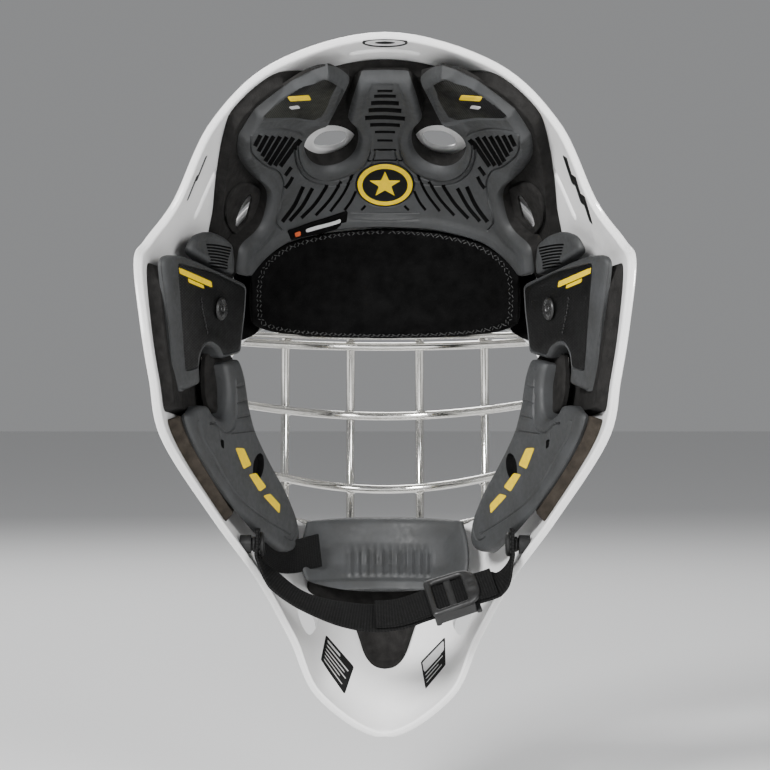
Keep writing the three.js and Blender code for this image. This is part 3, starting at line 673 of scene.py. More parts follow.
def panel(
    outline, place, level, back, holes=(), lines=(), spacing=2.0, rows=(0.4, 1.1, 2.0),
    paint=None, wall_look=0, back_look=0, seam=None,
):
    """A closed sheet or pad over an outline.

    level(uv, edge) gives the face's height from the distance to the nearest edge. back is the
    other face's level, or a function like level. lines are kept as edges of the face. Walls are
    left out along the strip's seam at u = +-seam.
    """
    loops = [outline, *holes]
    borders = [(line, True) for line in loops]
    if seam:
        rims = [outline[np.abs(outline[:, 1] - end) < 1e-6] for end in (0.0, STRIP[1])]
        borders[:1] = [(rim[np.argsort(rim[:, 0])], False) for rim in rims]
    grid = staggered_grid(outline, spacing)
    grid = grid[to_lines(grid, borders) > (max(rows) if rows else 0) + 0.45 * spacing]
    extra = np.vstack([beside(borders, rows), grid])
    keep = between_loops(extra, loops)
    if seam:
        keep &= np.abs(extra[:, 0]) < seam - 0.45 * spacing
    extra = extra[keep]
    if lines:
        extra = extra[to_lines(extra, lines) > 0.2 * spacing]
    uv, faces = triangulate(loops, lines, extra)
    edge = to_lines(uv, borders)
    seat = place(uv)
    top = seat(level(uv, edge))
    bottom = seat(back(uv, edge) if callable(back) else np.full(len(uv), float(back)))
    looks = np.zeros(len(faces), int) if paint is None else paint(uv, faces)
    count = len(uv)
    sides = open_sides(faces)
    if seam:
        sides = [(a, b) for a, b in sides if np.abs(uv[[a, b], 0]).min() < seam - 1e-3]
    mesh = Mesh().add(np.vstack([top, bottom]), [], 0, np.vstack([uv, uv]))
    mesh.faces = [list(map(int, f[::-1])) for f in faces]
    mesh.faces += [list(map(int, f + count)) for f in faces]
    mesh.faces += [[int(a), int(b), int(b) + count, int(a) + count] for a, b in sides]
    mesh.looks = [*map(int, looks), *[back_look] * len(faces), *[wall_look] * len(sides)]
    return mesh


def rounded(edge, radius):
    """How far a rounded edge lies below the face, as a level."""
    reach = clamp(radius - edge, 0, radius)
    return np.sqrt(radius**2 - reach**2) - radius


def ripple(uv, height, length):
    """The slight unevenness of a soft moulding."""
    u, v = uv[:, 0] / length, uv[:, 1] / length
    return height * (np.sin(2.1 * u + 1.3 * v) + np.sin(1.1 * u - 2.7 * v + 1) * np.sin(1.9 * v)) / 2


class Cut:
    """Something sunk below a face. outside(uv) is the distance outside its edge."""

    def drop(self, uv):
        return self.depth * clamp(-self.outside(uv) / self.wall)


class Slot(Cut):
    """A cut along a line, with leaning walls and a flat floor."""

    def __init__(self, points, width, depth=1.8, wall=0.35):
        self.line = np.asarray(points, float)
        self.half, self.depth, self.wall = width / 2, depth, min(wall, width / 2)

    def lines(self):
        along = unit(np.gradient(self.line, axis=0))
        across = np.stack([-along[:, 1], along[:, 0]], 1)
        made = []
        for inset in (0.0, self.wall):
            half = self.half - inset
            line = self.line.copy()
            line[0] += along[0] * inset
            line[-1] -= along[-1] * inset
            if half < 0.05:
                made.append((line, False))
            else:
                made.append((np.vstack([line + half * across, (line - half * across)[::-1]]), True))
        return made

    def outside(self, uv):
        """Distance outside the slot's edge; negative inside it."""
        first, last = self.line[0] - self.line[1], self.line[-1] - self.line[-2]
        past = np.maximum((uv - self.line[0]) @ unit(first), (uv - self.line[-1]) @ unit(last))
        return np.maximum(to_lines(uv, [(self.line, False)]) - self.half, past)


class Recess(Cut):
    """An area sunk below a face."""

    def __init__(self, outline, depth, wall=0.5):
        self.outline, self.depth, self.wall = outline, depth, wall

    def lines(self):
        along = np.roll(self.outline, -1, 0) - np.roll(self.outline, 1, 0)
        across = unit(np.stack([-along[:, 1], along[:, 0]], 1))
        floors = [self.outline + side * self.wall * across for side in (-1, 1)]
        floor = max(floors, key=lambda floor: inside(floor, self.outline).mean())
        return [(self.outline, True), (floor, True)]

    def outside(self, uv):
        gap = to_lines(uv, [(self.outline, True)])
        return np.where(inside(uv, self.outline), -gap, gap)


def cut(uv, cuts):
    """How far several cuts go down at each point: the deepest one counts."""
    return np.max([c.drop(uv) for c in cuts], 0) if cuts else 0


def lines_of(cuts):
    return [line for c in cuts for line in c.lines()]


def paint_shade_in(cuts):
    """Paints the faces inside the cuts with the piece's second look: near black, as painted shade in the
    cuts.
    """

    def paint(uv, faces):
        middle = uv[faces].mean(1)
        return (np.min([c.outside(middle) for c in cuts], 0) < -0.05).astype(int)

    return paint


def basis(axis, hint=(0.0, 0.0, 1.0)):
    axis = unit(np.asarray(axis, float))
    side = np.cross(hint, axis)
    if np.linalg.norm(side) < 1e-3:
        side = np.cross((1.0, 0.0, 0.0), axis)
    side = unit(side)
    return side, np.cross(axis, side), axis


def capped_tube(rings, sides):
    """Faces of a closed bar: rings of points joined in turn, with a face over each end."""
    last = (rings - 1) * sides
    ends = [tuple(range(sides)), tuple(range(last, last + sides))]
    return [*grid_faces(rings, sides, close_columns=True), *ends]


def lathe(profile, origin, axis, sides=48):
    """A turned solid. A profile point is (radius, height) or (radius, height, True) for a hexagon."""
    side, other, axis = basis(axis)
    turn = np.linspace(0, math.tau, sides, endpoint=False)
    rings = []
    for radius, height, *six in profile:
        reach = np.full(sides, float(radius))
        if six:
            reach /= np.cos((turn + math.pi / 6) % (math.pi / 3) - math.pi / 6)
        rings.append(
            np.asarray(origin)
            + np.outer(reach * np.cos(turn), side)
            + np.outer(reach * np.sin(turn), other)
            + height * axis
        )
    return np.vstack(rings), capped_tube(len(rings), sides)


def sweep(path, section, across, closed=False):
    """A bar whose section, (across, square) pairs, follows a path."""
    path = np.asarray(path, float)
    along = np.roll(path, -1, 0) - np.roll(path, 1, 0)
    if not closed:
        along[0], along[-1] = path[1] - path[0], path[-1] - path[-2]
    along = unit(along)
    across = unit(across - along * (across * along).sum(1, keepdims=True))
    square = np.cross(along, across)
    section = np.asarray(section, float)
    rings = path[:, None] + section[:, 0, None] * across[:, None]
    rings = rings + section[:, 1, None] * square[:, None]
    rows, count = len(path), len(section)
    faces = grid_faces(rows, count, True, True) if closed else capped_tube(rows, count)
    length = np.concatenate([[0], np.cumsum(np.linalg.norm(np.diff(path, axis=0), axis=1))])
    pattern = np.stack([np.repeat(length, count), np.tile(section[:, 0], rows)], 1)
    return rings.reshape(-1, 3), faces, pattern


def circle(radius, sides=16):
    turn = np.linspace(0, math.tau, sides, endpoint=False)
    return radius * np.stack([np.cos(turn), np.sin(turn)], 1)


def wire(path, radius, hint, closed=False):
    """A round wire along a path that never runs in the hint's direction."""
    along = np.roll(path, -1, 0) - np.roll(path, 1, 0) if closed else np.gradient(path, axis=0)
    points, faces, pattern = sweep(path, circle(radius), np.cross(along, hint), closed)
    return points, faces, 0, pattern


def bead(centre, sizes, axes):
    """A weld bead: a ball drawn out along three axes."""
    turn = np.linspace(0, math.tau, 14, endpoint=False)
    tilt = np.linspace(0.12, math.pi - 0.12, 9)
    around, down = np.meshgrid(turn, tilt)
    ball = [np.sin(down) * np.cos(around), np.sin(down) * np.sin(around), np.cos(down)]
    ball = np.stack(ball, -1).reshape(-1, 3)
    return centre + (ball * sizes) @ np.array(axes), capped_tube(len(tilt), len(turn))


def stitches(mesh, path, length, gap, radius, normals, slant=0.0, look=0):
    """A row of stitches along a path: each a short bead of thread sunk at its ends."""
    span = np.concatenate([[0], np.cumsum(np.linalg.norm(np.diff(path, axis=0), axis=1))])
    for n, at in enumerate(np.arange(gap, span[-1] - length, length + gap)):
        middle, ahead = (
            np.array([np.interp(at + reach, span, path[:, k]) for k in range(3)])
            for reach in (length / 2, length / 2 + 0.5)
        )
        up = np.array([np.interp(at, span, normals[:, k]) for k in range(3)])
        along = unit(ahead - middle)
        side = unit(np.cross(up, along))
        lean = slant if n % 2 else -slant
        along = along * math.cos(lean) + side * math.sin(lean)
        side = unit(np.cross(up, along))
        points, faces = bead(middle, (length / 2, radius, radius), (along, side, unit(up)))
        mesh.add(points, faces, look)
    return mesh


# ---- shell --------------------------------------------------------------------------------

VENTS = {  # t, s, length, width, turn of each vent on the +X side
    "forehead": (0.024, 0.575, 19.5, 14.5, 0.3),
    "temple": (0.098, 0.79, 34, 4.5, 0),
    "ear": (0.083, 0.49, 26, 6.5, 0),
    "chin": (0.44, 0.625, 21.5, 17, 1.72),
}
CROWN_SLOT = (0, 0.93, 36, 4.2, 0)
CLIP_SCREWS = {"brow": (0.05, 0.17), "cheek": (0.2, 0.2), "chin": (0.435, 0.25)}


def turned_about(vector, axis, angle):
    c, s = math.cos(angle), math.sin(angle)
    return vector * c + np.cross(axis, vector) * s + axis * (axis @ vector) * (1 - c)


def hole_on_shell(t, s, length, width, turn=0.0, spacing=1.6):
    """The strip outline of a stadium-shaped hole through the shell's outer face."""
    half, radius = (length - width) / 2, width / 2
    arc = np.linspace(-math.pi / 2, math.pi / 2, 12)
    end = np.stack([half + radius * np.cos(arc), radius * np.sin(arc)], 1)
    flat = resample(np.vstack([end, -end]), spacing)
    out = shell_normal(t, s)
    side = turned_about(unit(shell_point(t + 0.01, s) - shell_point(t - 0.01, s)), out, turn)
    other = np.cross(out, side)
    at_t, at_s = np.full(len(flat), float(t)), np.full(len(flat), float(s))
    centre = shell_point(t, s)

    def offset(a, b):
        reach = shell_point(a, b) - centre
        return np.stack([reach @ side, reach @ other], 1)

    for _ in range(8):
        here = offset(at_t, at_s)
        by_t = (offset(at_t + SMALL, at_s) - here) / SMALL
        by_s = (offset(at_t, at_s + SMALL) - here) / SMALL
        step_t, step_s = newton(flat - here, by_t, by_s)
        at_t, at_s = at_t + step_t, at_s + step_s
    return np.stack([at_t, at_s], 1) * STRIP


def make_shell(looks):
    holes = [hole_on_shell(*CROWN_SLOT)]
    for vent in VENTS.values():
        hole = hole_on_shell(*vent)
        holes += [hole, mirrored(hole)]
    for t, s in CLIP_SCREWS.values():
        hole = hole_on_shell(t, s, 5.4, 5.2, spacing=1.2)
        holes += [hole, mirrored(hole)]
    half, height = STRIP[0] / 2, STRIP[1]
    round_steps = np.linspace(-half, half, 201)
    along_steps = np.linspace(0, height, 52)[1:-1]
    outline = np.vstack([
        np.stack([round_steps, 0 * round_steps], 1),
        np.stack([0 * along_steps + half, along_steps], 1),
        np.stack([round_steps[::-1], 0 * round_steps + height], 1),
        np.stack([0 * along_steps - half, along_steps[::-1]], 1),
    ])
    mesh = panel(
        outline,
        on_strip(SHELL_WALL),
        lambda uv, edge: rounded(edge, 1.3),
        lambda uv, edge: -SHELL_WALL - rounded(edge, 1.3),
        holes=holes, spacing=5.0, rows=(0.3, 0.8, 1.5, 2.6), seam=half, wall_look=1, back_look=1,
    )
    return mesh.build("shell_lacquered", looks, stands_for="shell", slot="shell", weld=True)


# ---- wire cage ----------------------------------------------------------------------------

FRAME_S = 0.075
WELD = 0.5


def frame_wire_point(t):
    return under_shell(t, FRAME_S, -(WIRE + WELD))


FRAME_T = np.linspace(0, 0.5, 400)
FRAME_LINE = frame_wire_point(FRAME_T)


def frame_at_height(z):
    """The frame wire's point on the +X side at a height."""
    return np.array([np.interp(-z, -FRAME_LINE[:, 2], FRAME_LINE[:, k]) for k in range(3)])


def cage_depth(x, z):
    edge = frame_at_height(z)
    middle = -166 + 34 * abs((z + 24) / 74) ** 2.4
    return middle + (edge[1] - middle) * min(1, abs(x) / edge[0]) ** 2.4


def cage_out(x, z):
    slope_x = cage_depth(x + 0.5, z) - cage_depth(x - 0.5, z)
    slope_z = cage_depth(x, z + 0.5) - cage_depth(x, z - 0.5)
    return unit(np.array([slope_x, -1.0, slope_z]))


def upright_x(x, z):
    return x - 0.0009 * (z + 40) ** 2 if x > BAR_SPACING and z < -40 else x


def weld_point(x, at_brow):
    half = FRAME_T < 0.25 if at_brow else FRAME_T > 0.25
    t, reach = FRAME_T[half], FRAME_LINE[half, 0]
    order = np.argsort(reach)
    t = np.interp(x, reach[order], t[order])
    return frame_wire_point(t) + shell_normal(t, FRAME_S) * (2 * WIRE + WELD)


UPRIGHTS = {"inner": BAR_SPACING / 2 - 0.9, "outer": 1.5 * BAR_SPACING - 5.9}
CROSS_WIRES = {  # height in the middle, rise towards the ends, wire radius
    "brow": (27.5, 1, 1.5),
    "eye_upper": (22, 2.5, WIRE),
    "eye_lower": (-18, 11, WIRE),
    "mouth": (-60, 18, WIRE),
    "chin": (-84, 14, WIRE),
}


def make_cage(look):
    t = np.linspace(0, 1, 180, endpoint=False)
    Mesh().add(*wire(frame_wire_point(t), WIRE, (0.0, 1.0, 0.0), closed=True)).build(
        "cage_frame", [look], stands_for="cage_frame_wire", slot="chrome"
    )
    for name, (middle, rise, radius) in CROSS_WIRES.items():
        reach = frame_at_height(middle + rise)[0]
        x = np.linspace(-reach + 0.6, reach - 0.6, 25)
        z = middle + rise * (x / reach) ** 2
        path = spline([(a, cage_depth(a, b), b) for a, b in zip(x, z)], 2.5)
        mesh = Mesh().add(*wire(path, radius, (0.0, 0.0, 1.0)))
        for end, ahead in ((path[0], path[1]), (path[-1], path[-2])):
            along = unit(ahead - end)
            side, other, _ = basis(along)
            sizes = (radius * 1.5, radius * 1.4, 1.9)
            mesh.add(*bead(end + along * WIRE, sizes, (side, other, along)))
        mesh.build(
            f"cage_bar_{name}", [look], stands_for=f"cage_cross_wire_{name}", slot="chrome"
        )
    for name, x in UPRIGHTS.items():
        top, foot = weld_point(x, True), weld_point(upright_x(x, -80), False)
        path = [top]
        for i in range(11):
            z = top[2] - 6 + (foot[2] - top[2] + 12) * i / 10
            across = upright_x(x, z)
            face = np.array([across, cage_depth(across, z), z])
            path.append(face + cage_out(across, z) * (2 * WIRE + WELD))
        path = spline([*path, foot], 2.5)
        mesh = Mesh().add(*wire(path, WIRE, (1.0, 0.0, 0.0)))
        for middle, rise, _ in CROSS_WIRES.values():
            edge = frame_at_height(middle + rise)[0]
            height = middle + rise * (upright_x(x, middle) / edge) ** 2
            across = upright_x(x, height)
            out = cage_out(across, height)
            seat = np.array([across, cage_depth(across, height), height])
            seat = seat + out * (WIRE + WELD / 2)
            axes = (np.array([1.0, 0, 0]), unit(np.cross(out, (1.0, 0, 0))), out)
            mesh.add(*bead(seat, (3.0, 3.0, 1.5), axes))
        for end in (path[0], path[-1]):
            mesh.add(*bead(end, (WIRE * 1.02, WIRE * 1.02, WIRE * 1.3), np.eye(3)))
        build_pair(mesh, f"cage_post_{name}", [look], f"cage_upright_{name}", "chrome")


SCREW_HEAD = [
    (0.01, 3.6), (1.5, 3.6, True), (1.6, 4.9, True), (2.2, 5.25), (3.2, 5.3), (4.0, 4.9),
    (4.4, 4.2), (4.4, 3.1), (2.2, 2.9), (2.2, -SHELL_WALL - 2.2), (4.6, -SHELL_WALL - 2.2),
    (4.6, -SHELL_WALL - 3.3), (4.2, -SHELL_WALL - 3.6), (0.01, -SHELL_WALL - 3.6),
]
CLIP_WIDTH = 11.0


def make_clips(look):
    """Spring-steel saddles over the frame wire, each held by a screw with a T-nut."""
    half, thick = CLIP_WIDTH / 2, 0.75
    section = [
        (-half + 0.5, -thick), (half - 0.5, -thick), (half, -thick + 0.5), (half, thick - 0.5),
        (half - 0.5, thick), (-half + 0.5, thick), (-half, thick - 0.5), (-half, -thick + 0.5),
    ]
    head = [(r, h - 0.6, *six) if h > 2.5 else (r, h, *six) for r, h, *six in SCREW_HEAD]
    for name, (t, s) in CLIP_SCREWS.items():
        seat, up = shell_point(t, s), shell_normal(t, s)
        reach = frame_wire_point(t) - seat
        to_wire = unit(reach - up * (reach @ up))
        span, rise = reach @ to_wire, reach @ up
        over = np.linspace(math.pi * 0.95, 0.12, 9)
        bend = WIRE + 1.25
        profile = [(-5.0, 1.5), (-3, 1.4), (0, 1.4), (3, 1.5), (span - bend - 2.2, 1.8)]
        profile += [(span + bend * math.cos(a), rise + bend * math.sin(a)) for a in over]
        path = spline([seat + to_wire * a + up * b for a, b in profile], 0.8)
        points, faces, _ = sweep(path, section, np.tile(np.cross(up, to_wire), (len(path), 1)))
        clip = Mesh().add(points, faces)
        build_pair(clip, f"clip_{name}", [look], f"cage_clip_{name}", "plated_steel")
        screw = Mesh().add(*lathe(head, seat, up))
        build_pair(screw, f"screw_{name}", [look], f"cage_screw_{name}", "plated_steel", sharp=30)


# ---- foam sheets --------------------------------------------------------------------------

CROWN_EDGE = [
    (0, 0.885), (0.025, 0.885), (0.04, 0.985), (0.068, 0.985), (0.083, 0.83), (0.1, 0.68),
    (0.127, 0.56), (0.145, 0.62), (0.158, 0.74), (0.168, 0.75),
]
VENT_OPENING = (26.4, 117, 13.6, 10.8)  # in the crown pad and its liner, as a pattern ellipse
EAR_SLIT = [
    (66.6, 93.8), (70.3, 88.9), (72.7, 83.2), (73.6, 78.7), (71.4, 80), (69.3, 83.4), (67.4, 88),
]


def slit_through(depth):
    """A hole whose far end, this much deeper in the foam, still shows the whole slit."""
    back = np.array([-0.78, -0.9]) * depth
    far = [np.add(EAR_SLIT[k], back) for k in (3, 5, 0)]
    return loop([*EAR_SLIT[:4], *far], 1.0, 1.0)


def on_liner(outline, depth):
    """The strip outline of a pattern outline laid at a depth under the shell."""
    return np.stack(find_on_shell(outline, depth), 1) * STRIP


def sheet_of_foam(name, outline, thickness, look, stands_for, slot, holes=()):
    """Foam sheet glued to the shell, with a sliced edge."""
    mesh = panel(
        outline,
        on_strip(SHELL_WALL + thickness),
        lambda uv, edge: rounded(edge, 0.7) + ripple(uv, 0.35, 17),
        GAP - thickness,
        holes=holes, spacing=3.2, rows=(0.3, 0.9, 2.0),
    )
    piece = mesh.build(name, [look], stands_for=stands_for, slot=slot)
    return piece


def make_liners(look, brown):
    corners = both_sides([(0, 0.38), (0.168, 0.38), *CROWN_EDGE[::-1]])
    outline = loop([(t * STRIP[0], s * STRIP[1]) for t, s in corners], 5, 2.5)
    vent = on_liner(ellipse(*VENT_OPENING), SHELL_WALL + LINER)
    slit = on_liner(slit_through(LINER + 1), SHELL_WALL + LINER)
    sheet_of_foam(
        "crown_liner_sheet", outline, LINER, look, "liner_crown", "liner_foam",
        holes=[vent, mirrored(vent), slit, mirrored(slit)],
    )
    strips = {
        "side": (0.185, 0.292, 0.42, 0.955, look, "liner_foam", []),
        "jaw": (0.297, 0.352, 0.42, 0.93, brown, "comfort_foam", [strap_stud_hole()]),
    }
    for name, (t0, t1, s0, s1, foam_look, slot, holes) in strips.items():
        corners = [(t0, s0), (t1, s0), (t1, s1), (t0, s1)]
        outline = loop([(t * STRIP[0], s * STRIP[1]) for t, s in corners], 6, 2.5)
        for side in ("left", "right"):
            if side == "right":
                outline, holes = mirrored(outline), [mirrored(hole) for hole in holes]
            sheet_of_foam(
                f"{name}_liner_sheet_{side}", outline, LINER - 1, foam_look,
                f"liner_{name}_{side}", slot, holes,
            )


HINGE = np.array([0.0, -36.0, -84.0])
STRAP_END_X = 67.0


def strap_stud_hole():
    """Room in the jaw liner for the strap's snap, as a strip outline."""
    grid_t, grid_s = np.meshgrid(np.linspace(0.26, 0.42, 161), np.linspace(0.3, 1, 141))
    grid_t, grid_s = grid_t.ravel(), grid_s.ravel()
    points = under_shell(grid_t, grid_s, SHELL_WALL + LINER)
    nearest = np.argmin(np.linalg.norm(points[:, 1:] - HINGE[1:], axis=1))
    return ellipse(grid_t[nearest] * STRIP[0], grid_s[nearest] * STRIP[1], 7, 9, 1.5)


# ---- crown pad ----------------------------------------------------------------------------

CROWN_HALF = [
    (0, 154.5, 0.1), (11.1, 154.5, 2), (12, 150.5, 1.5), (15.6, 139.7), (18.3, 129.4, 2),
    (14, 125.7, 2.5), (12.5, 120.8, 9), (13.6, 115, 9), (16.8, 110.5, 9), (22.2, 107.2, 9),
    (29.6, 105.8, 9), (35.3, 107.8, 9), (38.6, 112.2, 9), (39.5, 117.1, 9), (37.4, 121.8, 9),
    (32.9, 125.3, 3), (27.6, 127, 1.5), (16.6, 149, 2), (20, 152.5, 4), (29.6, 157.6, 6),
    (46, 149.5, 20), (64.1, 135.6, 20), (72.3, 122.4, 8), (72.3, 111.7, 6), (64.9, 102, 5),
    (57.3, 96.1, 4), (56.7, 89.6, 5), (60, 76.4, 12), (70.5, 67.5, 4), (72, 54, 2),
    (65.5, 52.5, 2), (60.2, 60, 6), (53.6, 65.6, 9), (46, 70.2, 12), (32.4, 74, 20),
    (17, 76.4, 20), (0, 77, 0.1),
]
CROWN_INLAY = [
    (29.6, 150.4), (20.1, 146.7), (27.7, 128), (44.4, 130.6), (59.2, 130.2), (61, 133),
    (52.6, 141.8), (41, 148),
]
BADGE = (0, 98.6, 14.5, 11)


CROWN_REAR = [  # the pad's edge along the rim, from the middle outwards
    (0, 155), (11.1, 154.5), (29.6, 157.6), (46, 149.5), (64.1, 135.6), (72.3, 122.4), (73, 112),
    (69, 103),
]
PAD_FACE = SHELL_WALL + LINER + CROWN_PAD


def crown_depth(uv):
    """The crown pad's face: it thins out towards its edge along the rim."""
    folded = np.stack([np.abs(uv[:, 0]), uv[:, 1]], 1)
    from_rim = to_lines(folded, [(np.array(CROWN_REAR, float), False)])
    return PAD_FACE - (CROWN_PAD - 1.0) * np.exp(-((from_rim / 7.5) ** 1.3))


def under_crown(level):
    """The level, counted from the crown pad's face, of a depth fixed under the shell."""
    return lambda uv, edge: level - crown_depth(uv)


def arc_round_vent(grow, start, end, step=0.12):
    """Part of the line that runs at a distance round the forehead vent."""
    u, v, a, b = VENT_OPENING
    turn = np.arange(math.radians(start), math.radians(end), step)
    grow = grow * (1 - 0.42 * smooth((turn - math.radians(295)) / 1.1))
    return np.stack([u + (a + grow) * np.cos(turn), v + (b + grow) * np.sin(turn)], 1)


def crown_cuts():
    """The slots and grooves on the +u side of the crown pad."""
    cuts = []
    # upper fan: slots whose tops stand in a row below the black window
    for i, length in enumerate((6.2, 9.0, 11.6, 14.4, 16.4, 16.6, 17.0)):
        top = np.array([61.4 - 3.25 * i, 123.3 - 0.27 * i])
        lean = 0.46 + 0.025 * i
        foot = top + length * np.array([math.sin(lean), -math.cos(lean)])
        cuts.append(Slot([top, foot], 2.2))
    cuts.append(Slot([(46.2, 107.4), (49.2, 103.3)], 1.8))
    # lower fan: narrower slots that sweep down and out to the pad's lower edge
    lower = [
        ((45.6, 102.7), (49.2, 97), 1.3), ((40.3, 97.8), (50.6, 80.4), 1.5),
        ((35.7, 97), (46.9, 80.8), 1.4), ((28.4, 98.4), (41.2, 82.2), 1.3),
        ((21.6, 100.4), (34.2, 83.6), 1.1), ((15.9, 103.8), (27, 85.6), 1.0),
        ((14.4, 95.6), (20, 86.2), 1.0), ((9.6, 88.4), (11.8, 86.2), 0.9),
    ]
    for top, foot, width in lower:
        top, foot = np.array(top), np.array(foot)
        bow = 0.045 * np.array([foot[1] - top[1], top[0] - foot[0]])
        middle = (top + foot) / 2 + bow
        cuts.append(Slot(spline([top, middle, foot], 2.0), width * 1.35, 1.6, 0.3))
    # border line inside the raised rim, then the double line round the vent and up the tongue
    border = spline(
        [(50.2, 75.8), (54, 81.5), (50.6, 93.7), (50.2, 100.6), (53, 105.6), (57.1, 107), (61.6, 110.2),
         (65.7, 114.8), (66.8, 123.8)], 2.0,
    )
    cuts.append(Slot(border, 1.1, 1.0, 0.45))
    cuts.append(Slot(spline([(66.8, 124.4), (52, 126.1), (40.6, 123.6)], 2.0), 1.1, 1.0, 0.45))
    for grow, top in ((5.6, (7.4, 148.3)), (8.1, (4.7, 148))):
        round_vent = arc_round_vent(grow, 142 + grow, 373)
        start = np.array(top)
        cuts.append(Slot(spline([start, (start + round_vent[0]) / 2, *round_vent], 2.0), 1.0, 1.0, 0.4))
    return cuts


def tongue_slots():
    """The ladder of slots up the middle of the crown pad: height, half length and width."""
    ladder = [
        (144.9, 3.7, 1.2), (142.4, 5.4, 1.6), (139.2, 6.9, 2.0), (135.7, 8.1, 2.1),
        (132.0, 9.9, 2.1), (128.4, 7.4, 1.7), (124.9, 5.0, 1.2), (120.7, 3.8, 1.1),
        (116.0, 5.6, 1.0), (110.9, 8.6, 0.7),
    ]
    cuts = []
    for v, half, width in ladder:
        u = np.linspace(-half, half, 5)
        cuts.append(Slot(np.stack([u, v - 0.006 * u**2], 1), width, 1.7, min(0.35, width / 3)))
    return cuts


def flipped(slot):
    return Slot(slot.line * np.array([-1, 1]), 2 * slot.half, slot.depth, slot.wall)


def scaled(outline, factor):
    middle = outline.mean(0)
    return middle + (outline - middle) * factor


def make_crown(looks, film, badge_looks, mark_looks):
    outline = loop(both_sides(CROWN_HALF), 3, 1.3)
    half_cuts = crown_cuts()
    cuts = [*half_cuts, *map(flipped, half_cuts), *tongue_slots()]
    for v in (84.6, 81.4):
        u = np.linspace(-17, 17, 9)
        cuts.append(Slot(np.stack([u, v + 0.0012 * u**2], 1), 0.9, 0.6, 0.45))
    window = loop(CROWN_INLAY, 1.2, 1.2)
    sunk = [Recess(window, 1.5), Recess(mirrored(window), 1.5)]
    sunk.append(Recess(ellipse(BADGE[0], BADGE[1], BADGE[2] + 0.4, BADGE[3] + 0.4, 1.2), 0.8))
    every = [*cuts, *sunk]
    # the slots deeper than 1 mm get painted shade on their walls and floors
    shaded_cuts = [c for c in cuts if c.depth > 1]

    def level(uv, edge):
        rim = 1.0 * smooth((edge - 0.3) / 1.2) * smooth((6.2 - edge) / 1.3)
        top_bar = 0.5 * smooth((uv[:, 1] - 149.8) / 0.8) * (np.abs(uv[:, 0]) < 12)
        return rounded(edge, 2.4) + rim + top_bar + ripple(uv, 0.22, 11) - cut(uv, every)

    mesh = panel(
        outline, on_shell(crown_depth), level, under_crown(SHELL_WALL + LINER + GAP),
        lines=lines_of(every), spacing=1.35, rows=(0.35, 0.9, 1.6, 2.4), paint=paint_shade_in(shaded_cuts),
        wall_look=2,
    )
    pad = mesh.build("crown_pad_moulded", looks, stands_for="crown_pad", slot="moulded_pad", sharp=42)
    inlay = panel(
        scaled(window, 0.96), on_shell(crown_depth),
        lambda uv, edge: -0.75 + rounded(edge, 0.4), -1.3, spacing=2.2, rows=(0.2, 0.5),
    )
    build_pair(inlay, "crown_window", [film], "crown_inlay", "inlay")
    for i, (u, v, length) in enumerate(((46.6, 139.2, 10.5), (46.0, 135.2, 4.6))):
        corners = [
            (u, v), (u + 1.2, v + 2.2 - i), (u + 1.2 - length, v + 2.9 - i), (u - length, v + 0.6),
        ]
        mark = panel(
            loop(corners, 0.3, 0.8), on_shell(crown_depth), lambda uv, edge: -0.6 + 0 * edge,
            -0.78, spacing=1.5, rows=(),
        )
        build_pair(mark, "crown_mark", [mark_looks[i]], slot="badge", number=f"_{i}")
    make_badge(badge_looks)


def star(points, outer, inner):
    """A plain pointed star, centred on the origin."""
    turn = math.pi / 2 + np.arange(2 * points) * math.pi / points
    reach = np.where(np.arange(2 * points) % 2 == 0, outer, inner)
    return [(r * math.cos(a), r * math.sin(a)) for r, a in zip(reach, turn)]


def make_badge(looks):
    """A round badge: a black disc with a raised yellow ring and a plain star."""
    u, v, a, b = BADGE
    ring = ellipse(u, v, a - 0.9, b - 0.8, 1.0)
    hole = ellipse(u, v, a - 3.3, b - 2.9, 1.0)
    emblem = loop([(u + x, v + 0.82 * y) for x, y in star(5, 8.2, 3.3)], 0.25, 0.7)
    marks = [Recess(ring, -0.3, 0.25), Recess(hole, 0.3, 0.25), Recess(emblem, -0.3, 0.25)]

    def level(uv, edge):
        return -0.1 + rounded(edge, 0.6) - sum(mark.drop(uv) for mark in marks)

    def paint(uv, faces):
        middle = uv[faces].mean(1)
        in_ring = inside(middle, ring) & ~inside(middle, hole)
        return (in_ring | inside(middle, emblem)).astype(int)

    panel(
        ellipse(u, v, a, b, 1.0), on_shell(crown_depth), level, -0.75,
        lines=lines_of(marks), spacing=1.2, rows=(0.2, 0.5), paint=paint,
    ).build("crown_emblem", looks, stands_for="crown_badge", slot="badge")


# ---- temple foam and mesh pad -------------------------------------------------------------

TEMPLE_FOAM_THICKNESS = 2.2
TEMPLE_FOAM = [
    (64.5, 99, 5), (71, 99, 5), (77, 92, 6), (78, 81, 6), (75, 75, 4), (69, 71, 4), (61, 78, 3),
    (58, 90, 3), (58.8, 95, 3),
]


def make_temple_foam(look):
    outline = loop(TEMPLE_FOAM, 4, 1.6)
    hole = slit_through(TEMPLE_FOAM_THICKNESS)
    for side in ("left", "right"):
        if side == "right":
            outline, hole = mirrored(outline), mirrored(hole)
        piece = panel(
            outline, on_shell(SHELL_WALL + LINER + TEMPLE_FOAM_THICKNESS),
            lambda uv, edge: rounded(edge, 0.6) + ripple(uv, 0.4, 9), GAP - TEMPLE_FOAM_THICKNESS,
            holes=[hole], spacing=2.2, rows=(0.4, 1.0),
        ).build(
            f"temple_foam_pad_{side}", [look], stands_for=f"temple_foam_{side}",
            slot="comfort_foam",
        )


def side_depth(u, v):
    return 40 - 2.2 * (109 - u) + 0.1 * (v - 30)


def jaw_depth(u, v):
    return -190 + 2.1 * u - 0.25 * v


def temple_depth(u, v):
    return side_depth(u, v) - 9


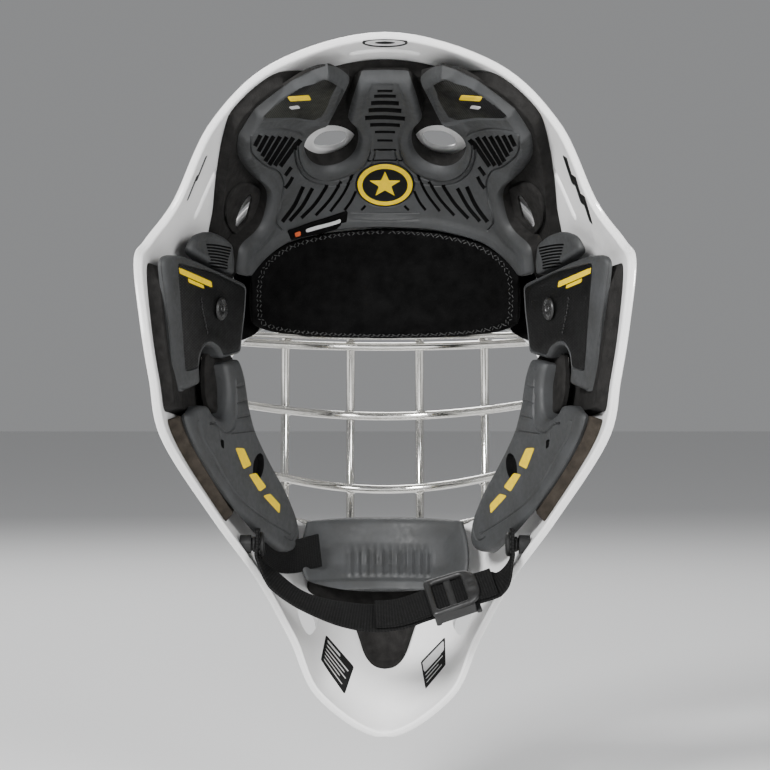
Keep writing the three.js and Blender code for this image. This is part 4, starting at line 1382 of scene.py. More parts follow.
def square_to(depth_at, u, v):
    """The direction square to a sloping face at (u, v), pointing away from the head."""
    def at(du, dv):
        return from_behind(np.array([u + du, v + dv]), depth_at(u + du, v + dv))

    square = unit(np.cross(at(1.0, 0.0) - at(0.0, 0.0), at(0.0, 1.0) - at(0.0, 0.0)))
    return square if square[0] > 0 else -square


SIDE_SQUARE = square_to(side_depth, 88.0, 30.0)
JAW_SQUARE = square_to(jaw_depth, 70.0, -40.0)


def inner_surface(depth):
    t, s = np.meshgrid(np.linspace(0, 1, 160, endpoint=False), np.linspace(0, 1, 60))
    points = under_shell(t, s, depth).reshape(-1, 3)
    return BVHTree.FromPolygons([Vector(p) for p in points], grid_faces(60, 160, False, True))


LINER_FACE = inner_surface(SHELL_WALL + LINER)


def room_behind(face, direction, surface, most):
    """How far each point can go in a direction before it meets a surface round the head."""
    run_up = 60.0
    reach = np.full(len(face), float(most))
    for i, point in enumerate(face):
        start = Vector(point - run_up * direction)
        hit = surface.ray_cast(start, Vector(direction), run_up + most)
        if hit[0] is not None:
            reach[i] = max(0.6, hit[3] - run_up - 2 * GAP)
    return reach


def block(outline, depth_at, square, thickness, level, **options):
    """A pad on a sloping face that reaches back to the liner at most."""
    place = on_plane(depth_at, square)

    def back(uv, edge):
        return -room_behind(place(uv)(0.0), square, LINER_FACE, thickness)

    return panel(outline, place, level, back, **options)


TEMPLE_PAD = [
    (96, 66, 3), (94, 73.5, 3), (85.5, 76, 4), (79, 73.5, 3), (74, 69, 2), (73, 60, 2),
    (73.5, 53.5, 2), (84.8, 59.3, 4),
]


def make_temple_pads(looks):
    louvres = []
    for i in range(8):
        u = np.linspace(75.8 + 0.25 * i, 87.6 - 0.35 * i, 6)
        v = 69.2 - 1.5 * i - 0.012 * (u - 88) ** 2
        louvres.append(Slot(np.stack([u, v], 1), 0.85, 1.1, 0.25))

    def level(uv, edge):
        return rounded(edge, 2.2) - 0.6 * smooth((edge - 2.6) / 0.8) - cut(uv, louvres)

    # the louvres are painted near black: partly the pad's black mesh, partly painted shade in the
    # recesses
    mesh = block(
        loop(TEMPLE_PAD, 3, 1.3), temple_depth, SIDE_SQUARE, 14, level, lines=lines_of(louvres),
        spacing=1.5, rows=(0.4, 1.0, 1.8, 2.6, 3.4), paint=paint_shade_in(louvres),
    )
    build_pair(mesh, "temple_mesh_pad", looks, "temple_pad", "inlay", fill=0.8, sharp=40)


# ---- side pads ----------------------------------------------------------------------------

SIDE_PAD = [
    (109.2, 62.5, 5), (104, 64.4, 5), (95.5, 63, 10), (83, 57.2, 10), (66.4, 49.6, 3), (67.4, 35, 6),
    (69.6, 15.4, 2), (79.3, 12.6, 2), (81.6, 17, 2.5), (86.6, 20, 3), (89.2, 15, 2.5), (90.2, 8, 3),
    (89.4, 0.6, 2), (98.5, -3.6, 4), (103.4, -2.6, 4), (106.4, 30, 20),
]
SIDE_PANEL = [
    (102, 60.6, 1.5), (83, 55.8, 4), (67.4, 48, 1.5), (68.4, 35, 4), (70.4, 16.9, 1),
    (78.9, 14.4, 1), (81.1, 19, 2), (86.7, 22.6, 3), (90.6, 16, 3), (91.4, 8.4, 1), (98, 6.2, 1.5),
]
SNAP_SEAT = (80.4, 37.5)
SNAP_RIBS = 16


def make_side_pads(pad_looks, film, snap, yellow, grey_thread):
    shape = loop(SIDE_PANEL, 1.5, 1.4)
    recess = Recess(shape, 1.3)

    def level(uv, edge):
        dish = 0.5 * smooth((edge - 3) / 6)
        return rounded(edge, 3.4) - dish - cut(uv, [recess]) + ripple(uv, 0.2, 13)

    def film_level(uv, edge):
        dish = 0.5 * smooth((edge - 1) / 6)
        return -0.7 - dish + rounded(edge, 0.5) + ripple(uv, 0.2, 13)

    pad = block(
        loop(SIDE_PAD, 3, 1.5), side_depth, SIDE_SQUARE, 22, level,
        lines=lines_of([recess]), spacing=2.0, rows=(0.5, 1.3, 2.3, 3.4),
    )
    build_pair(pad, "side_pad_moulded", pad_looks, "side_pad", "moulded_pad", fill=0.85, sharp=40)
    cover = block(
        scaled(shape, 0.975), side_depth, SIDE_SQUARE, 1.6, film_level, spacing=2.2,
        rows=(0.25, 0.6),
    )
    build_pair(cover, "side_film", [film], "side_panel", "inlay", sharp=40)
    place = on_plane(side_depth, SIDE_SQUARE)
    seam = spline([(89.8, 43.8), (89.2, 37), (87.6, 30), (86.4, 23.6)], 1.0)
    normals = np.tile(-SIDE_SQUARE, (len(seam), 1))
    sewn = stitches(Mesh(), place(seam)(-0.75), 1.7, 0.25, 0.3, normals, 0.5)
    build_pair(sewn, "side_seam", [grey_thread])
    profile = [
        (0.01, 1.2), (1.2, 1.1), (1.5, 0.7), (2.1, 0.7), (2.5, 1.2), (4.4, 1.5), (5.3, 1.3),
        (5.9, 0.7), (6.0, 0.1), (0.01, 0.1),
    ]
    seat = place(np.array([SNAP_SEAT]))(-0.55)[0]
    disc = Mesh().add(*lathe(profile, seat, -SIDE_SQUARE))
    a, b, axis = basis(-SIDE_SQUARE)
    for turn in np.arange(SNAP_RIBS) * math.tau / SNAP_RIBS:
        out = a * math.cos(turn) + b * math.sin(turn)
        axes = (out, np.cross(axis, out), axis)
        disc.add(*bead(seat + out * 3.9 + axis * 1.35, (1.5, 0.35, 0.5), axes))
    build_pair(disc, "side_snap_disc", [snap], "side_snap", "buckle")
    for i, (u, v, length) in enumerate(((101.0, 58.0, 16.5), (96.4, 52.6, 8.0))):
        corners = [
            (u, v), (u - 0.4, v - 3.0 + i), (u - length, v - 7.4 * length / 16.5 - 2.6 + i),
            (u - length + 0.4, v - 7.0 * length / 16.5),
        ]
        mark = panel(
            loop(corners, 0.3, 0.8), place, lambda uv, edge: -0.75 + 0 * edge, -1.05,
            spacing=1.5, rows=(),
        )
        build_pair(mark, "side_mark", [yellow], number=f"_{i}")


# ---- jaw pads -----------------------------------------------------------------------------

JAW_PAD = [
    (71, 13.4, 2), (68.7, 8, 5), (67, 0, 8), (64.6, -16.8, 10), (60.6, -28.1, 10),
    (53.6, -41, 10), (47.6, -51.7, 10), (42, -65.7, 6), (40.5, -74.7, 4), (41.6, -79.4, 3),
    (44.6, -82, 3), (48.6, -82.2, 3), (52.2, -79.6, 5), (65, -69, 12), (74.8, -58.3, 12),
    (83, -46.8, 12), (91.2, -33.7, 12), (96.2, -22.1, 5), (98.2, -14.6, 2), (90.4, -9.6, 2),
    (86, -10, 2), (84.2, -14.4, 2.5), (79.6, -17.6, 3), (77, -14, 4), (76.2, -5, 6), (76.6, 2.5, 6),
    (78.2, 9.5, 2), (78.2, 11.4, 1.5),
]
JAW_STEP = [
    (91.7, -17.2), (90.4, -25.4), (83.4, -36.9), (77.3, -48.4), (69.9, -57.5), (58.4, -66.4),
    (46.6, -73.6),
]
EAR_LINE = [
    (74.4, 8), (73.4, -2.4), (73.2, -14), (75, -21.6), (79, -23.6), (82.4, -20.4), (86.8, -18.6),
]
FINGER_HOLE = (62.4, -40.2, 2.7, 6.6)
JAW_EDGE_LINE = [
    (66.4, 4), (64, -8), (62, -18.6), (58.2, -28.6), (51.4, -41.2), (45.6, -52), (41.2, -64),
    (42.2, -74.4), (44.8, -76.6), (47.6, -74.6),
]
EAR_FOAM = [
    (73.5, 13), (80, 19), (87.4, 17), (88.2, 6), (87.8, -4), (86, -12), (80, -15.5), (75, -10),
]
JAW_MARKS = [
    [(73.8, -31), (69.8, -31.2), (66, -39.4), (69.8, -41.4)],
    [(67.2, -44.2), (63.6, -43.4), (58.6, -50.2), (61.8, -52.6)],
    [(60, -54.6), (56.6, -53.6), (51.8, -59), (52.2, -63.4)],
]


def make_jaw_pads(looks, foam_look, yellow):
    hole = Recess(ellipse(*FINGER_HOLE, 0.9, 0.12), 3.0, 0.6)
    notch = [(81.2, -26.6), (79.4, -27.2), (79.2, -31.6), (80.6, -30.6)]
    notch = Recess(loop(notch, 0.6, 0.7), 2.2, 0.4)
    edge_line = spline(JAW_EDGE_LINE, 2.0) + np.array([1.8, 0.0])
    step_line, ear_line = spline(JAW_STEP, 2.0), spline(EAR_LINE, 1.5)
    grooves = [
        Slot(step_line, 1.2, 0.8, 0.5), Slot(edge_line, 1.0, 0.8, 0.4),
        Slot(ear_line, 1.1, 0.9, 0.45), Slot([(86.6, -19.4), (83.4, -18.6)], 1.0, 1.2, 0.3),
        Slot(spline([(82.8, -19.4), (81.4, -23), (80.4, -27)], 1.5), 0.7, 0.5, 0.3),
    ]
    for v, right, left in ((-1.5, 68.4, 74), (-9, 67.2, 73), (-16.5, 66, 73), (-24, 64.2, 76)):
        grooves.append(Slot([(right, v + 1.6), (left, v)], 0.8, 0.5, 0.3))
    cuts = [hole, notch, *grooves]

    def level(uv, edge):
        outer = smooth(to_lines(uv, [(step_line, False)]) / 3.0)
        beyond = (uv @ unit(np.array([1.0, -0.72]))) > 98.6
        ear = smooth((4.4 - to_lines(uv, [(ear_line, False)])) / 3) * (uv[:, 0] > 73.8)
        return (
            rounded(edge, 3.0) - 0.5 * outer * beyond + 0.5 * ear * (uv[:, 1] > -24)
            + ripple(uv, 0.22, 12) - cut(uv, cuts)
        )

    # the finger hole and the notch are painted near black as shade
    pad = block(
        loop(JAW_PAD, 3, 1.5), jaw_depth, JAW_SQUARE, 20, level, lines=lines_of(cuts),
        spacing=1.9, rows=(0.4, 1.1, 2.0, 3.0), paint=paint_shade_in([hole, notch]),
    )
    build_pair(pad, "jaw_pad_moulded", looks, "jaw_pad", "moulded_pad", fill=0.85, sharp=40)
    backing = panel(
        loop(EAR_FOAM, 4, 1.6), on_plane(lambda u, v: jaw_depth(u, v) - 15, JAW_SQUARE),
        lambda uv, edge: rounded(edge, 1.2) - 0.8 * smooth((edge - 2) / 3), -3.5,
        spacing=2.2, rows=(0.4, 0.9),
    )
    build_pair(backing, "ear_foam", [foam_look], fill=0.85)
    for i, corners in enumerate(JAW_MARKS):
        mark = panel(
            loop(corners, 0.4, 0.9), on_plane(jaw_depth, JAW_SQUARE),
            lambda uv, edge: 0.12 + ripple(uv, 0.22, 12),
            lambda uv, edge: -0.2 + ripple(uv, 0.22, 12), spacing=1.5, rows=(),
        )
        build_pair(mark, "jaw_mark", [yellow], number=f"_{i}")


# ---- chin ---------------------------------------------------------------------------------

CHIN_FOAM = [
    (0, -82, 0.1), (34, -86, 3), (38, -96, 4), (27, -103, 6), (15.4, -111, 5), (12.2, -121, 8),
    (9.6, -129.5, 6), (5, -134.6, 4), (0, -135.4, 0.1),
]
CHIN_FOAM_THICKNESS = 5.5
CUP_THICKNESS = 11.0
CUP_ROWS = [(-74, 43), (-82, 45), (-92, 46), (-102, 46), (-110, 45), (-114, 43)]
RIB_PITCH = 4.2


def make_chin_foam(look):
    piece = panel(
        loop(both_sides(CHIN_FOAM), 4, 1.8), on_shell(SHELL_WALL + CHIN_FOAM_THICKNESS),
        lambda uv, edge: rounded(edge, 1.4) + ripple(uv, 0.3, 14), GAP - CHIN_FOAM_THICKNESS,
        spacing=2.6, rows=(0.4, 1.0, 1.7),
    ).build("chin_foam_sheet", [look], stands_for="chin_foam", slot="liner_foam")


def cup_point(x, z, push=0.0):
    return np.stack([x, -116 + 0.5 * (-z - 76) + 0.011 * x**2 - push, z], -1)


def make_chin_cup(look):
    """A moulded cup: dished face, ribbed middle, rolled top edge and a lip along its foot."""
    rows, columns = 56, 121
    heights, halves = np.array(CUP_ROWS, float).T
    down = np.linspace(0, 1, rows)
    z = heights[0] + (heights[-1] - heights[0]) * down
    half = np.interp(-z, -heights, halves)
    half = np.convolve(np.pad(half, 4, mode="edge"), np.ones(9) / 9, "valid")
    across = np.linspace(-1, 1, columns)
    share = np.sign(across) * (1 - (1 - np.abs(across)) ** 1.25)
    x = half[:, None] * share[None]
    rise = 8.5 * down[:, None] ** 1.5 - 1.5 * (1 - down[:, None])
    z_sag = z[:, None] + rise * np.abs(x / 45) ** 2.2
    top, foot = (z[0] - z_sag), (z_sag - z[-1])
    side = (half[:, None] - np.abs(x))
    edge = np.minimum(np.minimum(top, side), foot + 0.01)
    bowl = 3.2 * smooth((edge - 2.5) / 12) * smooth((foot - 6) / 10)
    rib_zone = smooth((-87 - z_sag) / 8) * smooth((foot - 7.5) / 3) * smooth((26 - np.abs(x + 2)) / 5)
    ribs = 2.1 * rib_zone * (0.5 + 0.5 * np.cos((x + 2) / RIB_PITCH * math.tau)) ** 0.8
    lip = 2.4 * smooth((7.6 - foot) / 1.4) * smooth((foot - 0.1) / 1.8)
    roll = -rounded(np.maximum(edge, 0), 3.2)
    rear = cup_point(x, z_sag, bowl - ribs - lip + roll)
    front = cup_point(x, z_sag, CUP_THICKNESS + rounded(np.maximum(edge, 0), 2.5))
    count = rows * columns
    faces = grid_faces(rows, columns)
    mesh = Mesh().add(np.vstack([rear.reshape(-1, 3), front.reshape(-1, 3)]), faces)
    mesh.faces += [[i + count for i in face[::-1]] for face in mesh.faces]
    border = [*range(columns), *range(2 * columns - 1, count, columns)]
    border += [*range(count - 2, count - columns - 1, -1), *range(count - 2 * columns, 0, -columns)]
    for a, b in zip(border, [*border[1:], border[0]]):
        mesh.faces.append([b, a, a + count, b + count])
    mesh.looks = [0] * len(mesh.faces)
    piece = mesh.build("chin_cup_moulded", [look], stands_for="chin_cup", slot="moulded_pad", sharp=50)


def ribbon(path, width, thickness, across, name, looks, body="mask", **facts):
    """A flat strap with soft edges, modelled directly."""
    half, thick = width / 2, thickness / 2
    section = [(-half, -0.35 * thick), (-half + 0.5, -thick)]
    section += [(k * half / 5, -thick) for k in range(-4, 5)]
    section += [(half - 0.5, -thick), (half, -0.35 * thick)]
    section += [(a, -b) for a, b in section[::-1]]
    points, faces, pattern = sweep(path, section, across)
    return Mesh().add(points, faces, 0, pattern).build(name, looks, body=body, sharp=60, **facts)


def make_cup_tape(look):
    """The loop tape that holds the cup's left end: it comes from the shell and folds over the cup."""
    route = [
        (65, -57, -86), (62, -63.5, -89), (57.5, -71, -92), (52.5, -77, -93.2), (47, -81.5, -93),
        (41, -85.6, -91.6), (35.8, -89, -90.4),
    ]
    path = spline(route, 1.5)
    ribbon(path, 18.5, 1.8, np.tile((0.0, 0.12, 1.0), (len(path), 1)), "cup_tape", [look], slot="webbing")


# ---- chin strap ---------------------------------------------------------------------------

STRAIGHT = [(-8, -121.7), (-58, -105.1)]
STRAP_LEFT = [
    (STRAP_END_X, -76), (STRAP_END_X, -84), (STRAP_END_X, -91.5), (59, -102.5), (45, -113),
    (26, -120), (7, -123),
]
STRAP_RIGHT = [(-63.2, -101), (-STRAP_END_X, -91.5), (-STRAP_END_X, -84), (-STRAP_END_X, -76)]
STRAP_LEAN = 0.75
TAIL_GAP = 0.8
TAIL_OFFSET = -STRAP_THICKNESS - TAIL_GAP


def strap_axes(path):
    """Each point's direction across the strap and square to it."""
    along = unit(np.gradient(path, axis=0))
    lean = STRAP_LEAN * clamp((66.5 - np.abs(path[:, 0])) / 8)
    lean *= 1 - 0.5 * smooth((path[:, 0] - 8) / 40)
    in_plane = unit(np.cross((0.0, -1.0, 0.0), along))
    across = np.outer(np.cos(lean), (0, 1.0, 0)) + np.sin(lean)[:, None] * in_plane
    return across, unit(np.cross(along, across))


def strap_path(points):
    return spline([(x, HINGE[1], z) for x, z in points], 1.6)


def straight_point(share):
    (x0, z0), (x1, z1) = STRAIGHT
    return x0 + (x1 - x0) * share, z0 + (z1 - z0) * share


def make_strap(weave, fuzzy, steel, grey_thread):
    straight = [straight_point(i / 4) for i in range(5)]
    path = strap_path([*STRAP_LEFT, *straight, *STRAP_RIGHT])
    across, square = strap_axes(path)
    ribbon(path, STRAP_WIDTH, STRAP_THICKNESS, across, "strap_webbing", [weave], "strap",
           stands_for="chin_strap", slot="webbing")
    tail = strap_path([(5, -122.7), *straight])
    across, square = strap_axes(tail)
    waves = 0.25 * np.sin(np.arange(len(tail)) * 0.55)
    ribbon(tail + square * (TAIL_OFFSET + waves)[:, None], STRAP_WIDTH - 0.4, STRAP_THICKNESS + 0.5,
           across, "strap_tail_loop_tape", [fuzzy], "strap", stands_for="chin_strap_tail",
           slot="webbing")
    # the box of stitches that closes the loop round each snap
    corners = [(-6.5, -77.4), (6.5, -77.4), (6.5, -90), (-6.5, -90), (-6.5, -77.4)]
    inner = STRAP_END_X - STRAP_THICKNESS / 2
    box = resample([(inner, HINGE[1] + y, z) for y, z in corners], 1.0, closed=False)
    sewn = stitches(Mesh(), box, 2.0, 0.7, 0.28, np.tile((-1.0, 0.0, 0.0), (len(box), 1)))
    build_pair(sewn, "strap_stitches", [grey_thread], body="strap")
    profile = [
        (0.01, 2.0), (2.2, 2.0), (2.6, 1.7), (3.2, 1.7), (3.8, 2.15), (4.9, 2.2), (6.1, 1.7),
        (6.5, 0.9), (6.4, 0.1), (0.01, 0.05),
    ]
    cap = Mesh().add(*lathe(profile, (inner - GAP, HINGE[1], HINGE[2]), (-1, 0, 0)))
    build_pair(cap, "strap_cap", [steel], "strap_snap", "plated_steel", body="strap", sharp=30)


def slide_axes():
    start, end = (np.array([x, HINGE[1], z]) for x, z in STRAIGHT)
    along = unit(end - start)
    in_plane = unit(np.cross((0.0, -1.0, 0.0), along))
    across = np.array([0, math.cos(STRAP_LEAN), 0]) + in_plane * math.sin(STRAP_LEAN)
    return start + (end - start) * 0.56, along, across, unit(np.cross(along, across))


BUCKLE_LENGTH = 26.0
STRAP_ROOM = 2 * STRAP_THICKNESS + TAIL_GAP + 1


def make_buckle(look):
    """A slide buckle: a front plate with two windows and a bar, side walls and two rear bars."""
    middle, along, across, square = slide_axes()
    face = TAIL_OFFSET / 2 - STRAP_ROOM / 2 - 1.8
    width = STRAP_WIDTH + 7

    def place(uv):
        flat = middle + np.outer(uv[:, 0], along) + np.outer(uv[:, 1], across) + face * square
        return lambda level: flat - np.outer(np.broadcast_to(level, len(uv)), square)

    def plate(outline, holes, level, back):
        return panel(outline, place, level, back, holes=holes, spacing=1.6, rows=(0.25, 0.6, 1.1))

    half, side = BUCKLE_LENGTH / 2, width / 2
    end = half + 2
    outer = [(-half, -side, 3), (end, -side + 1, 10), (end, side - 1, 10), (-half, side, 3)]
    outer = loop(outer, 3, 1.0)
    inner = STRAP_WIDTH / 2 - 0.2
    window = loop([(-9.4, -inner), (7.2, -inner), (7.2, inner), (-9.4, inner)], 1.4, 0.9)

    def front(uv, edge):
        grip = 0.3 * np.cos(uv[:, 1] * math.tau / 1.8) * smooth((uv[:, 0] - 9.4) / 0.8) * (edge > 1.2)
        return 0.5 + rounded(edge, 1.4) + grip * (np.abs(uv[:, 1]) < 6)

    mesh = plate(outer, [window], front, -1.8)
    for sign in (-1, 1):
        rail = [(-half + 0.8, sign * (side - 2.6)), (half - 3, sign * (side - 2.6)),
                (half - 3, sign * (side - 0.3)), (-half + 0.8, sign * (side - 0.3))]
        wall = plate(loop(rail, 0.8, 1.0), [], lambda uv, edge: -1.5 + 0 * edge, -1.8 - STRAP_ROOM - 0.6)
        rear = [(sign * 9.6, -side + 0.4), (sign * 12.6, -side + 0.4), (sign * 12.6, side - 0.4),
                (sign * 9.6, side - 0.4)]
        bar = plate(loop(rear, 1.0, 1.0), [], lambda uv, edge: -1.8 - STRAP_ROOM + rounded(edge, 0.5),
                    -1.8 - STRAP_ROOM - 1.8)
        for part in (wall, bar):
            mesh.add(part.points, part.faces, 0, part.pattern)
    # the strap bulges over the bar in the window
    bar = [(-3, -inner - 1), (1.4, -inner - 1), (1.4, inner + 1), (-3, inner + 1)]
    bar = plate(loop(bar, 1.0, 1.0), [], lambda uv, edge: -1.6 + rounded(edge, 1.0), -2.6)
    mesh.add(bar.points, bar.faces, 0, bar.pattern)
    mesh.build("buckle_slide_lock", [look], "buckle", stands_for="strap_buckle", slot="buckle", sharp=34)


PRESS_STUDS = {"upper": (0.132, 0.84), "lower": (0.3, 0.66)}


def make_studs(steel, dark_steel):
    """Studs behind the strap's snaps, and the back plate's press studs outside."""
    start = STRAP_END_X + STRAP_THICKNESS / 2 + GAP
    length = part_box("strap_stud_left")[1][0] / MM - start - 0.2
    profile = [
        (0.01, 0.0), (3.4, 0.0), (4.1, 0.5), (4.1, 1.1), (3.4, 1.7), (3.4, 2.2), (4.9, 2.4),
        (4.9, max(2.6, length - 1.5)), (0.01, max(2.7, length - 1.5)),
    ]
    anchor = Mesh().add(*lathe(profile, (start, HINGE[1], HINGE[2]), (1, 0, 0)))
    build_pair(anchor, "strap_anchor", [dark_steel], "strap_stud", "plated_steel", sharp=30)
    profile = [
        (0.01, 4.8), (2.6, 4.8), (3.3, 4.7), (3.75, 4.2), (3.6, 3.5), (3.15, 3.0), (3.3, 2.3),
        (3.9, 1.9), (6.2, 1.7), (6.8, 1.4), (7.0, 0.9), (7.0, -0.2), (0.01, -0.2),
    ]
    for name, (t, s) in PRESS_STUDS.items():
        stud = Mesh().add(*lathe(profile, shell_point(t, s), shell_normal(t, s)))
        build_pair(
            stud, f"plate_stud_{name}", [steel], f"press_stud_{name}", "plated_steel", sharp=30
        )


# ---- sweat pad, tag and plain marks -------------------------------------------------------

SWEAT_HALF = [
    (0, 77.5, 0.1), (17.7, 76.9, 9), (34, 74.4, 9), (47.3, 70.8, 9), (56, 66, 6), (62, 61, 6),
    (66.2, 54, 6), (67, 42, 8), (66, 29, 5), (52.3, 25, 8), (26, 23, 10), (0, 22.5, 0.1),
]
SWEAT_SWELL = 1.75  # the most that the cover may swell
SWEAT_VOXEL = 3.0


def evaluated(piece):
    graph = bpy.context.evaluated_depsgraph_get()
    return bpy.data.meshes.new_from_object(piece.evaluated_get(graph))


def places_of(data):
    places = np.zeros(len(data.vertices) * 3, np.float32)
    data.vertices.foreach_get("co", places)
    return places.reshape(-1, 3)


def make_sweat_pad(look, grey_thread):
    """The forehead pad: its foam swells in its cover, then its border is sewn."""
    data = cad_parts["sweat_pad"].data.copy()
    pad = bpy.data.objects.new("sweat_pad_cover", data)
    bpy.context.scene.collection.objects.link(pad)
    remesh = pad.modifiers.new("remesh", "REMESH")
    remesh.mode, remesh.voxel_size = "VOXEL", SWEAT_VOXEL * MM
    relax = pad.modifiers.new("relax", "SMOOTH")
    relax.factor, relax.iterations = 0.6, 8
    started = evaluated(pad)
    pad.modifiers.clear()
    pad.data = started
    before = places_of(started)
    cloth = pad.modifiers.new("cloth", "CLOTH").settings
    cloth.use_pressure, cloth.uniform_pressure_force = True, 3.0
    cloth.effector_weights.gravity = 0.0
    cloth.quality = 4
    cloth.mass = 0.3
    cloth.tension_stiffness = cloth.compression_stiffness = 30
    cloth.bending_stiffness = 2
    for step in range(1, 15):
        bpy.context.scene.frame_set(step)
    swollen = places_of(evaluated(pad))
    bpy.context.scene.frame_set(1)
    pad.modifiers.clear()
    moved = swollen - before
    length = np.linalg.norm(moved, axis=1, keepdims=True)
    moved *= np.minimum(1, SWEAT_SWELL * MM / np.maximum(length, 1e-9))
    pad.data.vertices.foreach_set("co", (before + moved).ravel())
    places = places_of(pad.data) / MM
    seen = to_pattern(places)
    border = loop(both_sides(SWEAT_HALF), 6, 1.0)
    to_edge = to_lines(seen, [(border, True)])
    normals = np.zeros(len(places) * 3, np.float32)
    pad.data.vertices.foreach_get("normal", normals)
    normals = normals.reshape(-1, 3)
    facing = (normals @ np.array([0, 0.8, -0.6])) > 0.2
    groove = 0.4 * np.exp(-(((to_edge - 5.0) / 1.4) ** 2)) * facing * inside(seen, border)
    places -= normals * groove[:, None]
    pad.data.vertices.foreach_set("co", (places * MM).astype(np.float32).ravel())
    soften = pad.modifiers.new("subdivide", "SUBSURF")
    soften.levels = soften.render_levels = 1
    finished = evaluated(pad)
    pad.modifiers.clear()
    pad.data = finished
    finished.polygons.foreach_set("use_smooth", np.ones(len(finished.polygons), bool))
    finished.materials.clear()
    finished.materials.append(look.material)
    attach(pad, "mask")
    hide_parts("sweat_pad")
    # loop tape on the shell holds the pad's ends
    wing = loop([(73.5, 58), (62, 61), (61, 27), (66, 23.5), (73, 21)], 3, 1.6)
    tape = panel(
        wing, on_shell(SHELL_WALL + 2), lambda uv, edge: rounded(edge, 0.6), GAP - 2,
        spacing=2.4, rows=(0.3, 0.8),
    )
    build_pair(tape, "sweat_pad_tape", [look], slot="fabric")
    # border stitches lie on the finished cover
    bpy.context.view_layer.update()
    surface = BVHTree.FromObject(pad, bpy.context.evaluated_depsgraph_get())
    eye = Vector((0, EYE_Y, 0)) * MM
    mesh = Mesh()
    for inset, length, slant in ((2.6, 2.2, 0.7), (3.6, 2.2, -0.7)):
        inward = border.mean(0) + (border - border.mean(0)) * (1 - inset / 45)
        line, normals = [], []
        for point in from_behind(inward, REAR_Y):
            ray = (Vector(point) * MM - eye).normalized()
            place, normal, *_ = surface.ray_cast(eye, ray)
            if place is not None:
                line.append(np.array(place) / MM)
                normals.append(np.array(normal))
        stitches(mesh, np.array(line), length, 0.5, 0.22, np.array(normals), slant)
    mesh.build("sweat_pad_stitches", [grey_thread], slot="fabric")


def make_tag(fabric, pale, orange):
    """A plain woven tag sewn to the crown pad, with a pale bar and no lettering."""
    corners = [(48.4, 76.6), (18.4, 86.4), (19.2, 78.2), (46.8, 71.6)]
    outline = loop(corners, 0.6, 1.2)
    panel(outline, on_shell(crown_depth), lambda uv, edge: 1.2 + ripple(uv, 0.5, 6) + rounded(edge, 0.3),
          lambda uv, edge: 0.4 + ripple(uv, 0.5, 6), spacing=1.6, rows=(0.2, 0.4)).build(
        "tag_cloth", [fabric], stands_for="woven_tag", slot="fabric")
    marks = {
        "tag_bar": (loop([(39.5, 77.4), (22, 82.6), (22.2, 80.8), (39.2, 75.8)], 0.4, 0.9), pale),
        "tag_stripe": (loop([(45.2, 75.7), (42.2, 76.6), (42.0, 74.2), (44.4, 73.4)], 0.4, 0.9), orange),
    }
    for name, (shape, look) in marks.items():
        panel(shape, on_shell(crown_depth), lambda uv, edge: 1.4 + ripple(uv, 0.5, 6),
              lambda uv, edge: 1.1 + ripple(uv, 0.5, 6), spacing=1.4, rows=()).build(name, [look])


def make_print(name, corners, look, depth=SHELL_WALL, radius=0.4, holes=()):
    """A thin printed shape on the shell's inner face."""
    shape = corners if isinstance(corners, np.ndarray) else loop(corners, radius, 1.2)
    panel(shape, on_shell(depth), lambda uv, edge: 0.12 + 0 * edge, -0.3, holes=holes,
          spacing=2.0, rows=()).build(name, [look])


def between(corners, a, b, c, d):
    """The part of a four-cornered shape from shares a to b across and c to d down."""
    p = np.array(corners, float)

    def at(x, y):
        return (p[0] * (1 - x) + p[1] * x) * (1 - y) + (p[3] * (1 - x) + p[2] * x) * y

    return [tuple(at(a, c)), tuple(at(b, c)), tuple(at(b, d)), tuple(at(a, d))]


def make_prints(dark, pale):
    ring, hole = ellipse(0, 168.8, 11.2, 2.2, 0.9), ellipse(0, 168.8, 9.9, 1.5, 0.9)
    make_print("crown_print_ring", ring, dark, holes=[hole])
    make_print("crown_print_bar", ellipse(0, 168.8, 5.0, 0.6, 0.7), dark)
    labels = {
        "left": [(29.1, -123.2), (15.3, -139), (19.9, -152.6), (31.7, -135.6)],
        "right": [(-17.6, -136.6), (-29.6, -124.2), (-29.9, -138), (-20, -150)],
    }
    for side, corners in labels.items():
        make_print(f"label_{side}", corners, dark)
        shares = [(0.08, 0.55, 0.1, 0.17), (0.08, 0.9, 0.27, 0.31), (0.08, 0.8, 0.42, 0.45),
                  (0.08, 0.9, 0.55, 0.58), (0.08, 0.7, 0.68, 0.71), (0.08, 0.85, 0.82, 0.85)]
        if side == "right":
            shares = [(0.06, 0.94, 0.08, 0.42), *shares[2:]]
        for i, share in enumerate(shares):
            make_print(f"label_{side}_line_{i}", between(corners, *share), pale, SHELL_WALL + 0.14, 0.1)
    # plain slanting bars on the inside of each wing
    for side, sign in (("left", 1), ("right", -1)):
        for i in range(3 if sign < 0 else 2):
            u, v = 87.5 + 4.4 * i, 113.5 - 9.5 * i
            corners = [(u, v), (u + 2.2, v - 1.5), (u + 6.2, v - 15.5), (u + 4.6, v - 14)]
            if sign > 0:
                corners = [(u, v), (u + 1.0, v - 0.8), (u + 6.0, v - 13.5), (u + 5.2, v - 12.8)]
            make_print(f"wing_bar_{side}_{i}", [(sign * a, b) for a, b in corners][::sign], dark)


# ---- everything ---------------------------------------------------------------------------

